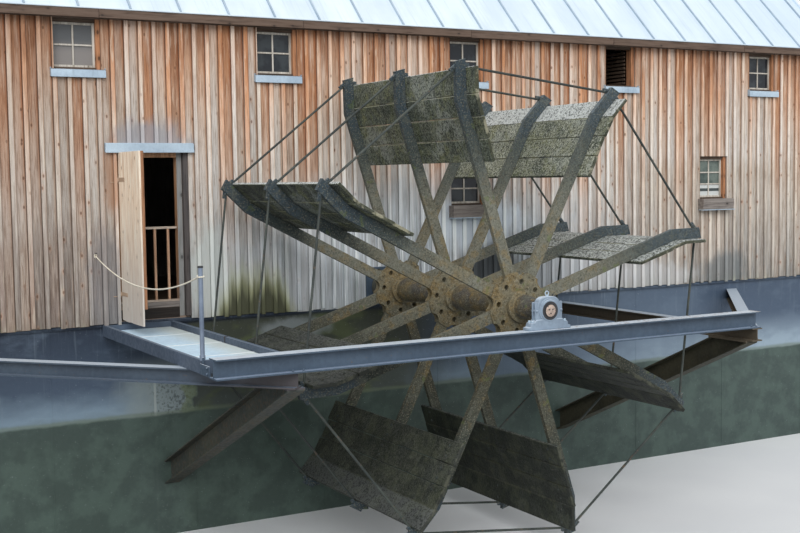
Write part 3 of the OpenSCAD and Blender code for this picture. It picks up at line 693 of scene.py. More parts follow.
def window_pane():
    """Old glass over a dark room: a painted reflection of the sky in the first upper window,
    a pale blind in a lower one, and dark haze and black in the rest.
    """
    r = new_finish("window_glass")
    along, _, height = r.xyz
    haze = r.noise(r.place, 3.0, 4.0, 0.6)
    r.colour = r.blend(r.remap(haze, 0.44, 0.6), (38, 42, 48), (60, 66, 70))
    # the first upper window has a painted reflection of the sky, and a blind hangs in the lower one
    # by the wheel
    sky = r.blend(r.remap(height, 6.5, 6.3), (104, 106, 108), (150, 144, 140))
    r.stain(r.remap(along, -2.6, -3.2), sky, 0.9)
    blind = r.blend(r.remap(haze, 0.4, 0.6), (74, 88, 84), (120, 132, 124))
    blind = r.blend(r.remap(height, 4.54, 4.52), blind, (226, 230, 228))
    blind = r.blend(r.near(height, 4.43, 0.03, 0.02), blind, (70, 78, 78))
    r.stain(r.times(r.remap(along, 3.0, 3.4), r.remap(height, 5.6, 5.2)), blind, 0.9)
    roughness = r.remap(haze, 0.3, 0.7, 0.05, 0.2)
    return r.surface(roughness, haze, 0.05, 0.002, Transmission_Weight=0.15, IOR=1.45)


def rope_fibre():
    """Cream rope: fine fibres, greyer in patches."""
    r = new_finish("rope")
    fibre = r.noise(r.place, 420.0, 3.0, 0.6)
    worn = r.noise(r.place, 9.0, 4.0, 0.6)
    r.colour = r.blend(r.remap(worn, 0.4, 0.7), (240, 234, 218), (216, 208, 190))
    r.fade_to(fibre, 0.45, 0.62, 0.35, (170, 160, 142))
    return r.surface(0.9, fibre, 0.5, 0.001)


AXLE_Z = 3.15
FINISH = {
    "boards": weathered("weathered_boards", 0.99),
    # the battens are paler than the boards: partly weathering, partly painted light on the raised
    # battens
    "battens": weathered("weathered_and_lit_battens", 1.15, 0.75),
    # the walls behind the boards, seen in the grooves and gaps between them, take a darker copy of
    # the board finish: painted shade
    "wall_behind_painted_shade": weathered("boards_copy_in_painted_shade", 0.72),
    "floor": timber("floor_timber", ALONG_X, (110, 92, 76), (70, 58, 48)),
    "eaves": timber("eaves_timber", ALONG_X, (106, 88, 76), (70, 56, 48), 0.07, 0.3),
    "frame": timber("frame_timber", UPRIGHT, (196, 150, 114), (130, 90, 64), 0.11, 0.5,
                    (2.9, 3.7, (132, 126, 118))),
    "frame_level": timber("frame_timber_level", ALONG_X, (204, 188, 172), (150, 126, 106)),
    "guard": timber("guard_timber", UPRIGHT, (206, 168, 138), (150, 108, 80)),
    "door": timber("pale_timber", UPRIGHT, (252, 236, 214), (212, 180, 150), 0.09, 0.6,
                   (2.9, 4.7, (186, 182, 178))),
    "door_edge": timber("door_edge_timber", UPRIGHT, (168, 122, 90), (110, 74, 52), 0.12),
    "strap_paint": painted_steel("strap_paint", (184, 160, 138), (166, 142, 120), 0.1, 0.6),
    "jamb_grey": timber("jamb_grey_timber", UPRIGHT, (150, 150, 148), (112, 112, 110), 0.1),
    # dark grey: painted shade on the doorway's outer facing board
    "jamb_in_painted_shade": timber("jamb_painted_shade_timber", UPRIGHT, (90, 84, 82), (60, 59, 61), 0.1, 0.2),
    # near black: painted shade in the recess under the door sill
    "recess_painted_shade": timber("timber_in_painted_shade", ALONG_X, (46, 40, 36), (28, 25, 23), 0.1, 0.3),
    "grey_timber": timber("grey_timber", ALONG_X, (142, 134, 128), (88, 80, 76), 0.1, 0.5),
    "sash": timber("window_paint", UPRIGHT, (206, 200, 190), (160, 150, 136), 0.05, 0.5),
    "casing": timber("casing_timber", UPRIGHT, (182, 128, 92), (112, 74, 50)),
    "dark_timber": timber("dark_timber", ALONG_X, (88, 72, 60), (48, 40, 34)),
    "planks": mossy_timber("mossy_planks"),
    "hull": hull_paint(),
    # in the painted steel finishes the tint after the roughness is the painted highlight on faces
    # that look up, and low_upper gives its duller tint low down
    "steel": painted_steel("frame_steel", (68, 83, 99), (80, 96, 113), 0.14, 0.4,
                           (206, 216, 226), (146, 132, 122), low_upper=(2.82, (152, 168, 190))),
    "left_steel": painted_steel("left_outrigger_steel", (62, 74, 88), (74, 87, 100), 0.16, 0.4,
                                (186, 198, 210), low_upper=(2.68, (112, 124, 140)),
                                browned=(-4.2, -3.3, (84, 76, 74))),
    "right_steel": painted_steel("right_outrigger_steel", (76, 70, 62), (96, 88, 74), 0.45, 0.55,
                                 (176, 190, 204), browned=(4.3, 3.9, (88, 80, 68)),
                                 low_upper=(2.68, (104, 95, 80))),
    "strut_steel": painted_steel("strut_steel", (62, 66, 62), (80, 80, 68), 0.42, 0.55,
                                 (84, 86, 78)),
    "right_strut": painted_steel("right_strut_steel", (54, 53, 43), (78, 75, 60), 0.2, 0.6,
                                 (104, 98, 84)),
    "walk_frame": painted_steel("walkway_steel", (72, 84, 100), (84, 96, 112), 0.1, 0.45,
                                (112, 126, 142)),
    "deck": painted_steel("deck_plate", (212, 238, 255), (200, 226, 246), 0.06, 0.5,
                          browned=(-3.64, -3.24, (212, 218, 210))),
    "deck_joint": painted_steel("deck_joint", (244, 250, 252), (232, 242, 248), 0.05, 0.5),
    "post": sheet_metal("galvanised_post", (136, 148, 166), (100, 112, 130), 0.45, 0.3),
    "sheet": sheet_metal("galvanised_sheet", (190, 208, 222), (160, 178, 194), 0.45, 0.2),
    "bearing": painted_steel("bearing_paint", (142, 158, 174), (118, 132, 148), 0.1, 0.4,
                             (196, 208, 220)),
    "dark_iron": painted_steel("dark_iron", (46, 48, 52), (66, 66, 68), 0.25, 0.45),
    "bare_end": wheel_steel("turned_steel", (206, 184, 172), (176, 140, 124), (190, 170, 160), 0.0),
    "hub": wheel_steel("rusty_steel", (120, 114, 94), (126, 110, 78), (106, 102, 84), 0.0),
    "axle": wheel_steel("axle_steel", (76, 74, 70), (100, 90, 66), (84, 80, 72), 0.0),
    "arm": wheel_steel("mossy_steel", (116, 116, 104), (118, 111, 90), (80, 88, 86), 0.85),
    "rod": painted_steel("rod_steel", (52, 58, 56), (80, 86, 80), 0.3, 0.5),
    "roof": roof_metal(),
    "seam": sheet_metal("seam_metal", (176, 192, 206), (150, 168, 184), 0.45, 0.2),
    "glass": window_pane(),
    "rope": rope_fibre(),
}

for finish, names in {
    "hull": ("hull_bottom", "hull_side_near", "hull_side_far", "hull_end_left",
             "hull_end_right", "hull_deck"),
    "floor": ("floor_boards",),
    "wall_behind_painted_shade": ("wall_front_left", "wall_over_door", "wall_front_mid", "wall_hatch_strip",
                    "wall_front_right", "wall_back", "gable_left", "gable_right"),
    "roof": ("roof_near", "roof_far", "ridge_cap"),
    "eaves": ("fascia_boards",),
    "frame": ("door_frame",),
    "strap_paint": ("door_pins",),
    "sheet": ("door_flashing",),
    "glass": ("window_glass",),
    "walk_frame": ("walkway_frame",),
    "deck": ("walkway_deck",),
    "post": ("walkway_post",),
    "steel": ("outer_beam", "wall_bearing"),
    "left_steel": ("outrigger_left",),
    "right_steel": ("outrigger_right", "cross_beam"),
    "strut_steel": ("strut_left",),
    "right_strut": ("strut_right",),
    "axle": ("axle",),
    "hub": ("hub_near", "hub_mid", "hub_far"),
    "arm": ("arms_near", "arms_mid", "arms_far"),
    "rod": ("tie_rods",),
}.items():
    for node in names:
        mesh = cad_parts[node].data
        mesh.materials.clear()
        mesh.materials.append(FINISH[finish])

# Shapes

SHARP_CORNER = math.radians(40)
SMOOTH_BELOW = math.radians(38)
LATHE_STEPS = 40
WASHER_T = 0.003


def stand(x, y, z, angle=0.0, axis="Z"):
    """Turns a shape about an axis and moves it to a place."""
    return Matrix.Translation((x, y, z)) @ Matrix.Rotation(angle, 4, axis)


def joined_to(verts):
    """Every point of the form that these points are part of."""
    form = {v for v in verts if v.is_valid}
    todo = list(form)
    while todo:
        for e in todo.pop().link_edges:
            for v in e.verts:
                if v not in form:
                    form.add(v)
                    todo.append(v)
    return list(form)


def new_shape():
    """An empty shape that keeps a tone for each board or part."""
    bm = bmesh.new()
    bm.verts.layers.float.new("tone")
    return bm


def settle(bm, verts, edge=0.0, turn=None, tone=None, finish=0):
    """Puts a new form in its place, takes its sharp edges off, and gives it a tone."""
    if turn is not None:
        bmesh.ops.transform(bm, matrix=turn, verts=verts)
    if edge:
        sharp = {e for v in verts for e in v.link_edges
                 if e.calc_face_angle(0.0) > SHARP_CORNER}
        made = bmesh.ops.bevel(bm, geom=list(sharp), offset=edge, offset_type="OFFSET",
                               segments=1, profile=0.5, affect="EDGES", material=-1)
        verts = list({v for v in verts if v.is_valid} | set(made["verts"]))
    shade = chance.random() if tone is None else tone
    layer = bm.verts.layers.float["tone"]
    for v in verts:
        v[layer] = shade
    for f in {f for v in verts for f in v.link_faces}:
        f.material_index = finish
    return verts


def block(bm, low, high, edge=0.0, **how):
    """A squared timber or plate between two corners."""
    low, high = Vector(low), Vector(high)
    size = Matrix.Diagonal((*(high - low), 1.0))
    made = bmesh.ops.create_cube(bm, size=1.0, matrix=Matrix.Translation((low + high) / 2) @ size)
    return settle(bm, made["verts"], edge, **how)


def upright_along(foot, along):
    """Stands a shape made along Z on a place, along a direction."""
    return Matrix.Translation(foot) @ along.to_track_quat("Z", "Y").to_matrix().to_4x4()


def rod(bm, start, end, radius, sides=16, edge=0.0, **how):
    """A round bar from one point to another."""
    start, end = Vector(start), Vector(end)
    along = end - start
    made = bmesh.ops.create_cone(
        bm, cap_ends=True, cap_tris=False, segments=sides, radius1=radius, radius2=radius,
        depth=along.length, matrix=upright_along((start + end) / 2, along))
    return settle(bm, made["verts"], edge, **how)


def outline(bm, points, depth, edge=0.0, **how):
    """A flat outline on the XZ plane, given depth along +Y."""
    face = bm.faces.new([bm.verts.new((x, 0.0, z)) for x, z in points])
    made = bmesh.ops.extrude_face_region(bm, geom=[face])["geom"]
    moved = [g for g in made if isinstance(g, bmesh.types.BMVert)]
    bmesh.ops.translate(bm, vec=(0, depth, 0), verts=moved)
    return settle(bm, [*face.verts, *moved], edge, **how)


def turned(bm, profile, axis_from, axis_to, steps=32, **how):
    """A shape turned on a lathe: profile is (distance along the axis, radius) pairs."""
    start, along = Vector(axis_from), Vector(axis_to) - Vector(axis_from)
    verts = [bm.verts.new((radius, 0.0, far)) for far, radius in profile]
    edges = [bm.edges.new(pair) for pair in zip(verts, verts[1:])]
    bmesh.ops.spin(bm, geom=verts + edges, cent=(0, 0, 0), axis=(0, 0, 1), dvec=(0, 0, 0),
                   angle=math.tau, steps=steps, use_merge=True)
    form = joined_to(verts)
    bmesh.ops.remove_doubles(bm, verts=form, dist=1e-5)
    place = upright_along(start, along)
    return settle(bm, [v for v in form if v.is_valid], turn=place, **how)


def turned_on_axle(bm, profile, y, way, **how):
    """A shape turned round the wheel's axis, from a place along it."""
    return turned(bm, profile, (0, y, AXLE_Z), (0, y + way, AXLE_Z), LATHE_STEPS, **how)


def sided(side, near, far):
    """Two distances from the middle as a low and a high place on one side of it."""
    return sorted((side * near, side * far))


def bolt(bm, seat, outward, radius, height, **how):
    """A hexagon head on its washer."""
    seat, outward = Vector(seat), Vector(outward).normalized()
    washer = seat + outward * WASHER_T
    rod(bm, seat, washer, radius * 1.5, 12, **how)
    rod(bm, washer, seat + outward * height, radius, 6, 0.002, **how)


def mesh_of(name, bm):
    mesh = bpy.data.meshes.new(name)
    bm.to_mesh(mesh)
    bm.free()
    return mesh


def piece(name, bm, body, finishes, replaces=()):
    """Hands a finished shape to the scene as a piece that moves with a body."""
    bmesh.ops.recalc_face_normals(bm, faces=bm.faces)
    mesh = mesh_of(name, bm)
    mesh.shade_smooth()
    mesh.set_sharp_from_angle(angle=SMOOTH_BELOW)
    for finish in finishes:
        mesh.materials.append(FINISH[finish])
    made = placed(name, mesh)
    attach(made, body)
    if replaces:
        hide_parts(*replaces)
    return made


def divided(bm, edges, cuts):
    """Cuts edges of a form into short lengths, and gives all its points."""
    made = bmesh.ops.subdivide_edges(bm, edges=edges, cuts=cuts, use_grid_fill=True)
    return joined_to(g for g in made["geom_inner"] if isinstance(g, bmesh.types.BMVert))


# Rope

ROPE_HOOK = Vector((-4.150, -3.0, 3.762))
ROPE_TIE = Vector((-4.050, -6.571, 3.723))
ROPE_SAG = 0.26
ROPE_R = 0.009
ROPE_LAY = 0.055
ROUTE_STEPS, STRAND_STEPS = 32, 420
POST_AXIS = Vector((-4.050, -6.595, 0))


def rope_point(share):
    drop = Vector((0, 0, 4 * ROPE_SAG * share * (1 - share)))
    return ROPE_HOOK.lerp(ROPE_TIE, share) - drop


def strand(bm, path, radius, start_turn, twist, sides=6):
    """One strand of a laid rope, wound round the path."""
    rings = []
    walked = 0.0
    for i, at in enumerate(path):
        ahead = (path[min(i + 1, len(path) - 1)] - path[max(i - 1, 0)]).normalized()
        side = ahead.cross(Vector((0, 0, 1))).normalized()
        over = side.cross(ahead)
        if i:
            walked += (at - path[i - 1]).length
        turn = start_turn + math.tau * walked / twist
        middle = at + (side * math.cos(turn) + over * math.sin(turn)) * radius
        rings.append([
            bm.verts.new(middle + (side * math.cos(a) + over * math.sin(a)) * radius)
            for a in (math.tau * k / sides for k in range(sides))])
    loops = [[bm.edges.new((ring[k], ring[(k + 1) % sides])) for k in range(sides)]
             for ring in rings]
    for first, second in zip(loops, loops[1:]):
        bmesh.ops.bridge_loops(bm, edges=first + second)
    for ring in (rings[0], rings[-1]):
        bm.faces.new(ring)


def laid_rope(path, radius=ROPE_R * 0.5, twist=ROPE_LAY):
    """Three strands laid round a path."""
    bm = new_shape()
    for k in range(3):
        strand(bm, path, radius, math.tau * k / 3, twist)
    return bm


def make_rope():
    bm = laid_rope([rope_point(i / STRAND_STEPS) for i in range(STRAND_STEPS + 1)])
    rope = piece("barrier_rope_line", bm, "mill", ["rope"], ["barrier_rope"])
    # round the post
    turns = []
    for i in range(39):
        a = math.tau * i / 32 + 1.57
        climb = 3.712 + i * 0.0005
        turns.append(POST_AXIS + Vector((math.cos(a) * 0.033, math.sin(a) * 0.033, climb)))
    knot = piece("rope_turns", laid_rope(turns), "mill", ["rope"])
    # the eye and hook on the wall
    ring = [ROPE_HOOK + Vector((math.sin(a) * 0.014, -0.024, math.cos(a) * 0.024))
            for a in (math.tau * i / 40 for i in range(39))]
    bm = laid_rope(ring, ROPE_R * 0.4, 0.05)
    eye = piece("rope_eye", bm, "mill", ["rope"])
    bm = new_shape()
    for back, front, rise, radius, sides in (
        (0.0, 0.075, 0.034, 0.007, 12),
        (0.001, 0.008, 0.028, 0.02, 16),
    ):
        start = ROPE_HOOK + Vector((0, -back, 0.028))
        rod(bm, start, ROPE_HOOK + Vector((0, -front, rise)), radius, sides, 0.002)
    piece("rope_hook", bm, "mill", ["dark_iron"])


make_rope()

# Boarding

HOUSE_X = 9.0
HOUSE_Y = 3.0
BASE_Z = 2.89
WALL_TOP = 6.745
RIDGE_UNDER = 9.902
BOARD_T = 0.012
BATTEN_T = 0.022
BATTEN_W = 0.055
BATTEN_SPREAD = 0.006
GROOVE = 0.005
WINDOW_W = 0.6
UPPER_Z, UPPER_H = 6.11, 0.63
LOWER_Z, LOWER_H = 4.28, 0.71
UPPER_X = (-4.300, -1.587, 1.468, 7.473)
LOWER_X = (1.470, 6.357)
BACK_X = (-6.0, -2.0, 2.0, 6.0)
HATCH_X, HATCH_W = 4.363, 0.594
LINING_Y = -2.86
DOOR_L, DOOR_R, DOOR_TOP = -3.8445, -2.8875, 5.075
SILL_HALF = 0.3425
SILL_DROP, BEAM_SILL_DROP = 0.105, 0.18
FRONT = stand(0, -HOUSE_Y, 0)
BACK = stand(0, HOUSE_Y, 0, math.pi)


def spread_lines(marks):
    """Board joints between marks of (place, boards up to the next mark)."""
    lines = []
    for (start, count), (end, _) in zip(marks, marks[1:]):
        lines += [start + (end - start) * k / count for k in range(count)]
    return [*lines, marks[-1][0]]


def free_parts(left, right, low, high, openings):
    """What is left of a board after the openings are taken from it."""
    cuts = sorted({left, right} | {x for hole in openings for x in hole[:2] if left < x < right})
    parts = []
    for a, b in zip(cuts, cuts[1:]):
        middle = (a + b) / 2
        spans = [(low, high)]
        for hole in openings:
            if hole[0] < middle < hole[1]:
                spans = [
                    (s, e)
                    for one in spans
                    for s, e in ((one[0], min(one[1], hole[2])), (max(one[0], hole[3]), one[1]))
                    if e - s > 0.01
                ]
        if b - a > 0.004:
            parts += [(a, b, s, e) for s, e in spans]
    return parts


def boarding(name, lines, top, turn, openings=()):
    """Boards with a batten beside each joint. The wall's outer face is the XZ plane and
    its outside is -Y, before turn; top gives the height of the wall at each place."""
    for kind in ("boards", "battens"):
        bm = new_shape()
        across = bm.verts.layers.float.new("across")
        for left, right in zip(lines, lines[1:]):
            low = BASE_Z - chance.uniform(0.0, 0.03)
            start = left + GROOVE
            tone = chance.random()
            near, far = -BOARD_T, 0.0
            end = right
            if kind == "battens":
                near, far = -BOARD_T - BATTEN_T, -BOARD_T
                end = start + BATTEN_W + chance.uniform(-BATTEN_SPREAD, BATTEN_SPREAD)
            height = top(0.5 * (start + end))
            parts = free_parts(start, end, low, height, openings)
            whole = len({(a, b) for a, b, _, _ in parts}) == 1
            for a, b, s, e in parts:
                made = block(bm, (a, near, s), (b, far, e), tone=tone)
                if abs(e - height) < 1e-6:
                    for v in made:
                        if v.co.z > e - 0.001:
                            v.co.z = top(v.co.x)
                if whole:
                    made = settle(bm, made, 0.0025, tone=tone)
                for v in made:
                    v[across] = (v.co.x - start) / (end - start)
        bmesh.ops.transform(bm, matrix=turn, verts=bm.verts)
        piece(name + "_" + kind, bm, "mill", [kind])


def window_holes(places, low, high, sill):
    return [hole for x in places for hole in (
        (x - WINDOW_W / 2, x + WINDOW_W / 2, low, low + high),
        (x - SILL_HALF, x + SILL_HALF, low - sill, low),
    )]


def make_boarding():
    front = [
        *window_holes(UPPER_X, UPPER_Z, UPPER_H, SILL_DROP),
        *window_holes(LOWER_X, LOWER_Z, LOWER_H, BEAM_SILL_DROP),
        (HATCH_X - HATCH_W / 2, HATCH_X + HATCH_W / 2, UPPER_Z, UPPER_Z + UPPER_H),
        (HATCH_X - SILL_HALF, HATCH_X + SILL_HALF, UPPER_Z - SILL_DROP, UPPER_Z),
        (DOOR_L, DOOR_R, 2.0, DOOR_TOP),
        (DOOR_L - 0.147, DOOR_R + 0.065, DOOR_TOP - 0.001, DOOR_TOP + 0.107),
        (-0.283, 0.283, 2.0, 3.433),
    ]
    lines = spread_lines([(-HOUSE_X, 31), (-3.34, 12), (-1.18, 35), (5.15, 21), (HOUSE_X, 0)])
    boarding("front", lines, lambda x: WALL_TOP, FRONT, front)
    back = window_holes([-x for x in BACK_X], UPPER_Z, UPPER_H, SILL_DROP)
    lines = spread_lines([(-HOUSE_X, 99), (HOUSE_X, 0)])
    boarding("back", lines, lambda x: WALL_TOP, BACK, back)
    edge = HOUSE_Y + BOARD_T
    lines = spread_lines([(-edge, 17), (0.0, 17), (edge, 0)])
    for name, side in (("left", -1), ("right", 1)):
        turn = stand(side * HOUSE_X, 0, 0, side * math.pi / 2)
        boarding("gable_" + name, lines, lambda s: RIDGE_UNDER - abs(s) - 0.004, turn)


make_boarding()

# Eaves and roof

EAVES_Y = 3.144
EAVES_Z = 6.86
ROOF_X = 9.15
RIDGE_Z = 10.004
ROOF_SLOPE = math.radians(45)
VERGE_LENGTH = 4.44
FASCIA_FOOT, FASCIA_TOP = 6.742, 6.846
FASCIA_JOINTS = (-ROOF_X, -6.7, -4.05, -1.25, 1.45, 4.1, 6.9, ROOF_X)
SEAM_PITCH = 0.66
SEAM_FIRST = -3.64


def make_eaves():
    bm = new_shape()
    for side in (-1, 1):
        for a, b in zip(FASCIA_JOINTS, FASCIA_JOINTS[1:]):
            low, high = sided(side, EAVES_Y + 0.001, EAVES_Y + 0.02)
            drop = chance.uniform(0.0, 0.006)
            block(bm, (a + 0.002, low, FASCIA_FOOT - drop), (b - 0.002, high, FASCIA_TOP), 0.003)
    piece("eaves_boards", bm, "mill", ["eaves"])
    bm = new_shape()
    for side in (-1, 1):
        low, high = sided(side, EAVES_Y - 0.02, EAVES_Y + 0.032)
        block(bm, (-ROOF_X - 0.01, low, FASCIA_TOP + 0.002),
              (ROOF_X + 0.01, high, FASCIA_TOP + 0.02), 0.004)
    for end in (-1, 1):
        for side in (-1, 1):
            low, high = sided(end, ROOF_X - 0.03, ROOF_X + 0.014)
            made = block(bm, (low, -0.01, -0.08), (high, VERGE_LENGTH, 0.022), 0.005)
            lean = stand(0, side * EAVES_Y, EAVES_Z, -side * ROOF_SLOPE, "X")
            lean = lean @ Matrix.Scale(-side, 4, (0, 1, 0))
            bmesh.ops.transform(bm, matrix=lean, verts=made)
    piece("roof_trim", bm, "mill", ["roof"])


def make_seams():
    bm = new_shape()
    length = (RIDGE_Z - EAVES_Z) * math.sqrt(2) - 0.16
    first = SEAM_FIRST - SEAM_PITCH * math.floor((SEAM_FIRST + ROOF_X - 0.1) / SEAM_PITCH)
    count = int((ROOF_X - 0.1 - first) / SEAM_PITCH) + 1
    for side in (-1, 1):
        slope = stand(0, side * EAVES_Y, EAVES_Z, math.pi * (side > 0))
        slope = slope @ Matrix.Rotation(ROOF_SLOPE, 4, "X")
        for k in range(count):
            x = -side * (first + k * SEAM_PITCH)
            made = block(bm, (x - 0.011, -0.004, -0.002), (x + 0.011, length, 0.026), 0.004)
            bmesh.ops.transform(bm, matrix=slope, verts=made)
    piece("roof_seams", bm, "mill", ["seam"])
    bm = new_shape()
    rod(bm, (-ROOF_X, 0, RIDGE_Z - 0.006), (ROOF_X, 0, RIDGE_Z - 0.006), 0.026, 16, 0.003)
    for side in (-1, 1):
        for k in range(13):
            x = -8.9 + k * (17.8 / 12)
            at = Vector((x, side * 0.12, RIDGE_Z - 0.12 + 0.012))
            bolt(bm, at, (0, side, 1), 0.008, 0.009)
    piece("ridge_roll", bm, "mill", ["seam"])


make_eaves()
make_seams()

# Windows


def sash_shape(bm, low, high, panes_up, turn):
    """A sash two panes wide with its bars, and the casing round it; the outside is -Y."""
    half = WINDOW_W / 2
    left, right = -half, half - 0.055
    foot, head = low + 0.025, low + high - 0.045
    bar = 0.03
    y0, y1 = 0.065, 0.105

    def timber_bar(a, b, front=y0, back=y1, finish=0):
        block(bm, (a[0], front, a[1]), (b[0], back, b[1]), 0.003, turn=turn, finish=finish)

    timber_bar((left, foot), (left + bar, head))
    timber_bar((right - bar, foot), (right, head))
    timber_bar((left + bar, foot), (right - bar, foot + bar))
    timber_bar((left + bar, head - bar), (right - bar, head))
    x = left + bar + (right - left - 2 * bar) / 2
    timber_bar((x - 0.011, foot + bar), (x + 0.011, head - bar), y0 + 0.005, y0 + 0.02)
    for k in range(1, panes_up):
        z = foot + bar + (head - foot - 2 * bar) * k / panes_up
        timber_bar((left + bar, z - 0.011), (right - bar, z + 0.011), y0 + 0.004, y0 + 0.02)
    timber_bar((right, low), (half, low + high), 0.012, 0.115, 1)
    timber_bar((left, head), (right, low + high), 0.03, 0.115, 2)
    timber_bar((left, low), (right, foot), 0.02, 0.115, 2)


def make_windows():
    bm = new_shape()
    for x in UPPER_X:
        sash_shape(bm, UPPER_Z, UPPER_H, 2, FRONT @ stand(x, 0, 0))
    for x in LOWER_X:
        sash_shape(bm, LOWER_Z, LOWER_H, 3, FRONT @ stand(x, 0, 0))
    for x in BACK_X:
        mirror = Matrix.Scale(-1, 4, (1, 0, 0))
        sash_shape(bm, UPPER_Z, UPPER_H, 2, BACK @ stand(-x, 0, 0) @ mirror)
    piece("window_sashes", bm, "mill", ["sash", "casing", "dark_timber"],
          ["window_frames"])


def make_sills():
    """Folded sheet sills with a sloped top, a front lip and turned-up ends."""
    bm = new_shape()
    lip = [(0.0, 0.0), (0.066, -0.012), (0.071, -0.02), (0.072, -0.092), (0.075, -0.105),
           (0.058, -0.105), (0.056, -0.098), (0.0, -0.09)]
    places = [(x, -1) for x in (*UPPER_X, HATCH_X)] + [(x, 1) for x in BACK_X]
    for x, side in places:
        # the outline's first axis is out of the wall
        points = [(out, UPPER_Z + up) for out, up in lip]
        turn = stand(x, side * HOUSE_Y, 0, side * math.pi / 2) @ stand(0, -SILL_HALF, 0)
        outline(bm, points, 2 * SILL_HALF, 0.002, turn=turn)
        for end in (-1, 1):
            low, high = sorted((x + end * (SILL_HALF - 0.004), x + end * SILL_HALF))
            inner, outer = sided(side, HOUSE_Y, HOUSE_Y + 0.06)
            block(bm, (low, inner, UPPER_Z - 0.004), (high, outer, UPPER_Z + 0.014), 0.001)
    piece("sheet_sills", bm, "mill", ["sheet"], ["window_sills"])
    bm = new_shape()
    for x in LOWER_X:
        made = block(bm, (x - SILL_HALF, -3.15, LOWER_Z - BEAM_SILL_DROP),
                     (x + SILL_HALF, -HOUSE_Y, LOWER_Z))
        hewn = divided(bm, list({e for v in made for e in v.link_edges}), 7)
        for v in hewn:
            if v.co.y > -HOUSE_Y - 0.001:
                continue
            low_part = max(0.0, (LOWER_Z - 0.06 - v.co.z) / 0.12)
            v.co.z += low_part * 0.02 * noise.noise(Vector((v.co.x * 7.0, 3.1, 0)))
            v.co.y += 0.006 * noise.noise(v.co * 22.0) + 0.012 * low_part
        settle(bm, hewn, 0.0)
    piece("hewn_sills", bm, "mill", ["grey_timber"], ["sill_blocks"])
    bm = new_shape()
    for x in LOWER_X:
        low = LOWER_Z - BEAM_SILL_DROP - 0.01
        high = low + 0.012
        block(bm, (x - SILL_HALF - 0.01, -3.16, low), (x + SILL_HALF + 0.02, -3.04, high), 0.002)
    piece("sill_drips", bm, "mill", ["sheet"])


def make_hatch():
    """The loft hatch: a dark louvred shutter folded in, and a casing on the right."""
    bm = new_shape()
    left, right = HATCH_X - HATCH_W / 2, HATCH_X + HATCH_W / 2
    inner = right - 0.06
    head = UPPER_Z + UPPER_H
    block(bm, (inner, -2.985, UPPER_Z), (right, LINING_Y, head), 0.003, finish=1)
    block(bm, (left, -2.975, head - 0.04), (inner, LINING_Y, head), 0.003, finish=2)
    for k in range(9):
        z = UPPER_Z + 0.05 + k * 0.06
        block(bm, (right - 0.085, -2.84, z), (inner, -2.3, z + 0.038), 0.003, finish=2)
    block(bm, (left, -2.975, UPPER_Z), (inner, LINING_Y, UPPER_Z + 0.02), 0.003, finish=2)
    piece("loft_hatch_frame", bm, "mill", ["frame", "casing", "dark_timber"])


make_windows()
make_sills()
make_hatch()

# Doorway

LEAF_LOW, LEAF_HIGH = 2.915, 5.069
LEAF_OUT, LEAF_IN = -3.8245, -3.7645
LEAF_FAR, LEAF_HUNG = -3.899, -3.026
LEAF_BOARDS = 6
HINGE_Z = (3.235, 4.699)
PIN = Vector((-3.8445, -3.02, 0))
POST_FACE = -2.9285


def make_door():
    bm = new_shape()
    step = (LEAF_HUNG - LEAF_FAR) / LEAF_BOARDS
    for k in range(LEAF_BOARDS):
        a = LEAF_FAR + k * step
        block(bm, (LEAF_OUT, a + 0.001, LEAF_LOW + chance.uniform(0, 0.008)),
              (LEAF_OUT + 0.022, a + step - 0.001, LEAF_HIGH), 0.002)
    # the frame behind the boards stops short of their lower ends
    inner, foot = LEAF_OUT + 0.023, 3.13
    block(bm, (inner, LEAF_FAR, foot), (LEAF_IN, LEAF_FAR + 0.11, LEAF_HIGH), 0.003, finish=3)
    block(bm, (inner, LEAF_HUNG - 0.11, foot), (LEAF_IN, LEAF_HUNG, LEAF_HIGH), 0.003, finish=1)
    for z in (foot, LEAF_LOW + 1.02, LEAF_HIGH - 0.12):
        block(bm, (inner, LEAF_FAR + 0.112, z), (LEAF_IN, LEAF_HUNG - 0.112, z + 0.12), 0.003,
              finish=2)
    run = LEAF_HUNG - LEAF_FAR - 0.224
    for low, rise in ((foot + 0.122, 0.683), (LEAF_LOW + 1.142, 0.87)):
        brace = block(bm, (inner, 0, -0.05), (LEAF_IN - 0.004, math.hypot(run, rise) - 0.11, 0.05),
                      0.003, finish=1)
        angle = math.atan2(rise - 0.09, run - 0.045)
        lean = stand(0, LEAF_FAR + 0.135, low + 0.045, angle, "X")
        bmesh.ops.transform(bm, matrix=lean, verts=brace)
    piece("door_leaf_boards", bm, "door",
          ["door", "frame", "frame_level", "door_edge"], ["door_leaf"])
    bm = new_shape()
    for z in HINGE_Z:
        block(bm, (LEAF_OUT - 0.006, -3.28, z), (LEAF_OUT, LEAF_HUNG, z + 0.05), 0.002)
        block(bm, (PIN.x, PIN.y - 0.014, z), (LEAF_OUT, LEAF_HUNG, z + 0.05), 0.001)
        rod(bm, PIN + Vector((0, 0, z)), PIN + Vector((0, 0, z + 0.05)), 0.0139, 16, 0.001)
        for y in (-3.08, -3.16, -3.24):
            bolt(bm, (LEAF_OUT - 0.006, y, z + 0.025), (-1, 0, 0), 0.007, 0.006)
    piece("door_straps", bm, "door", ["strap_paint"])


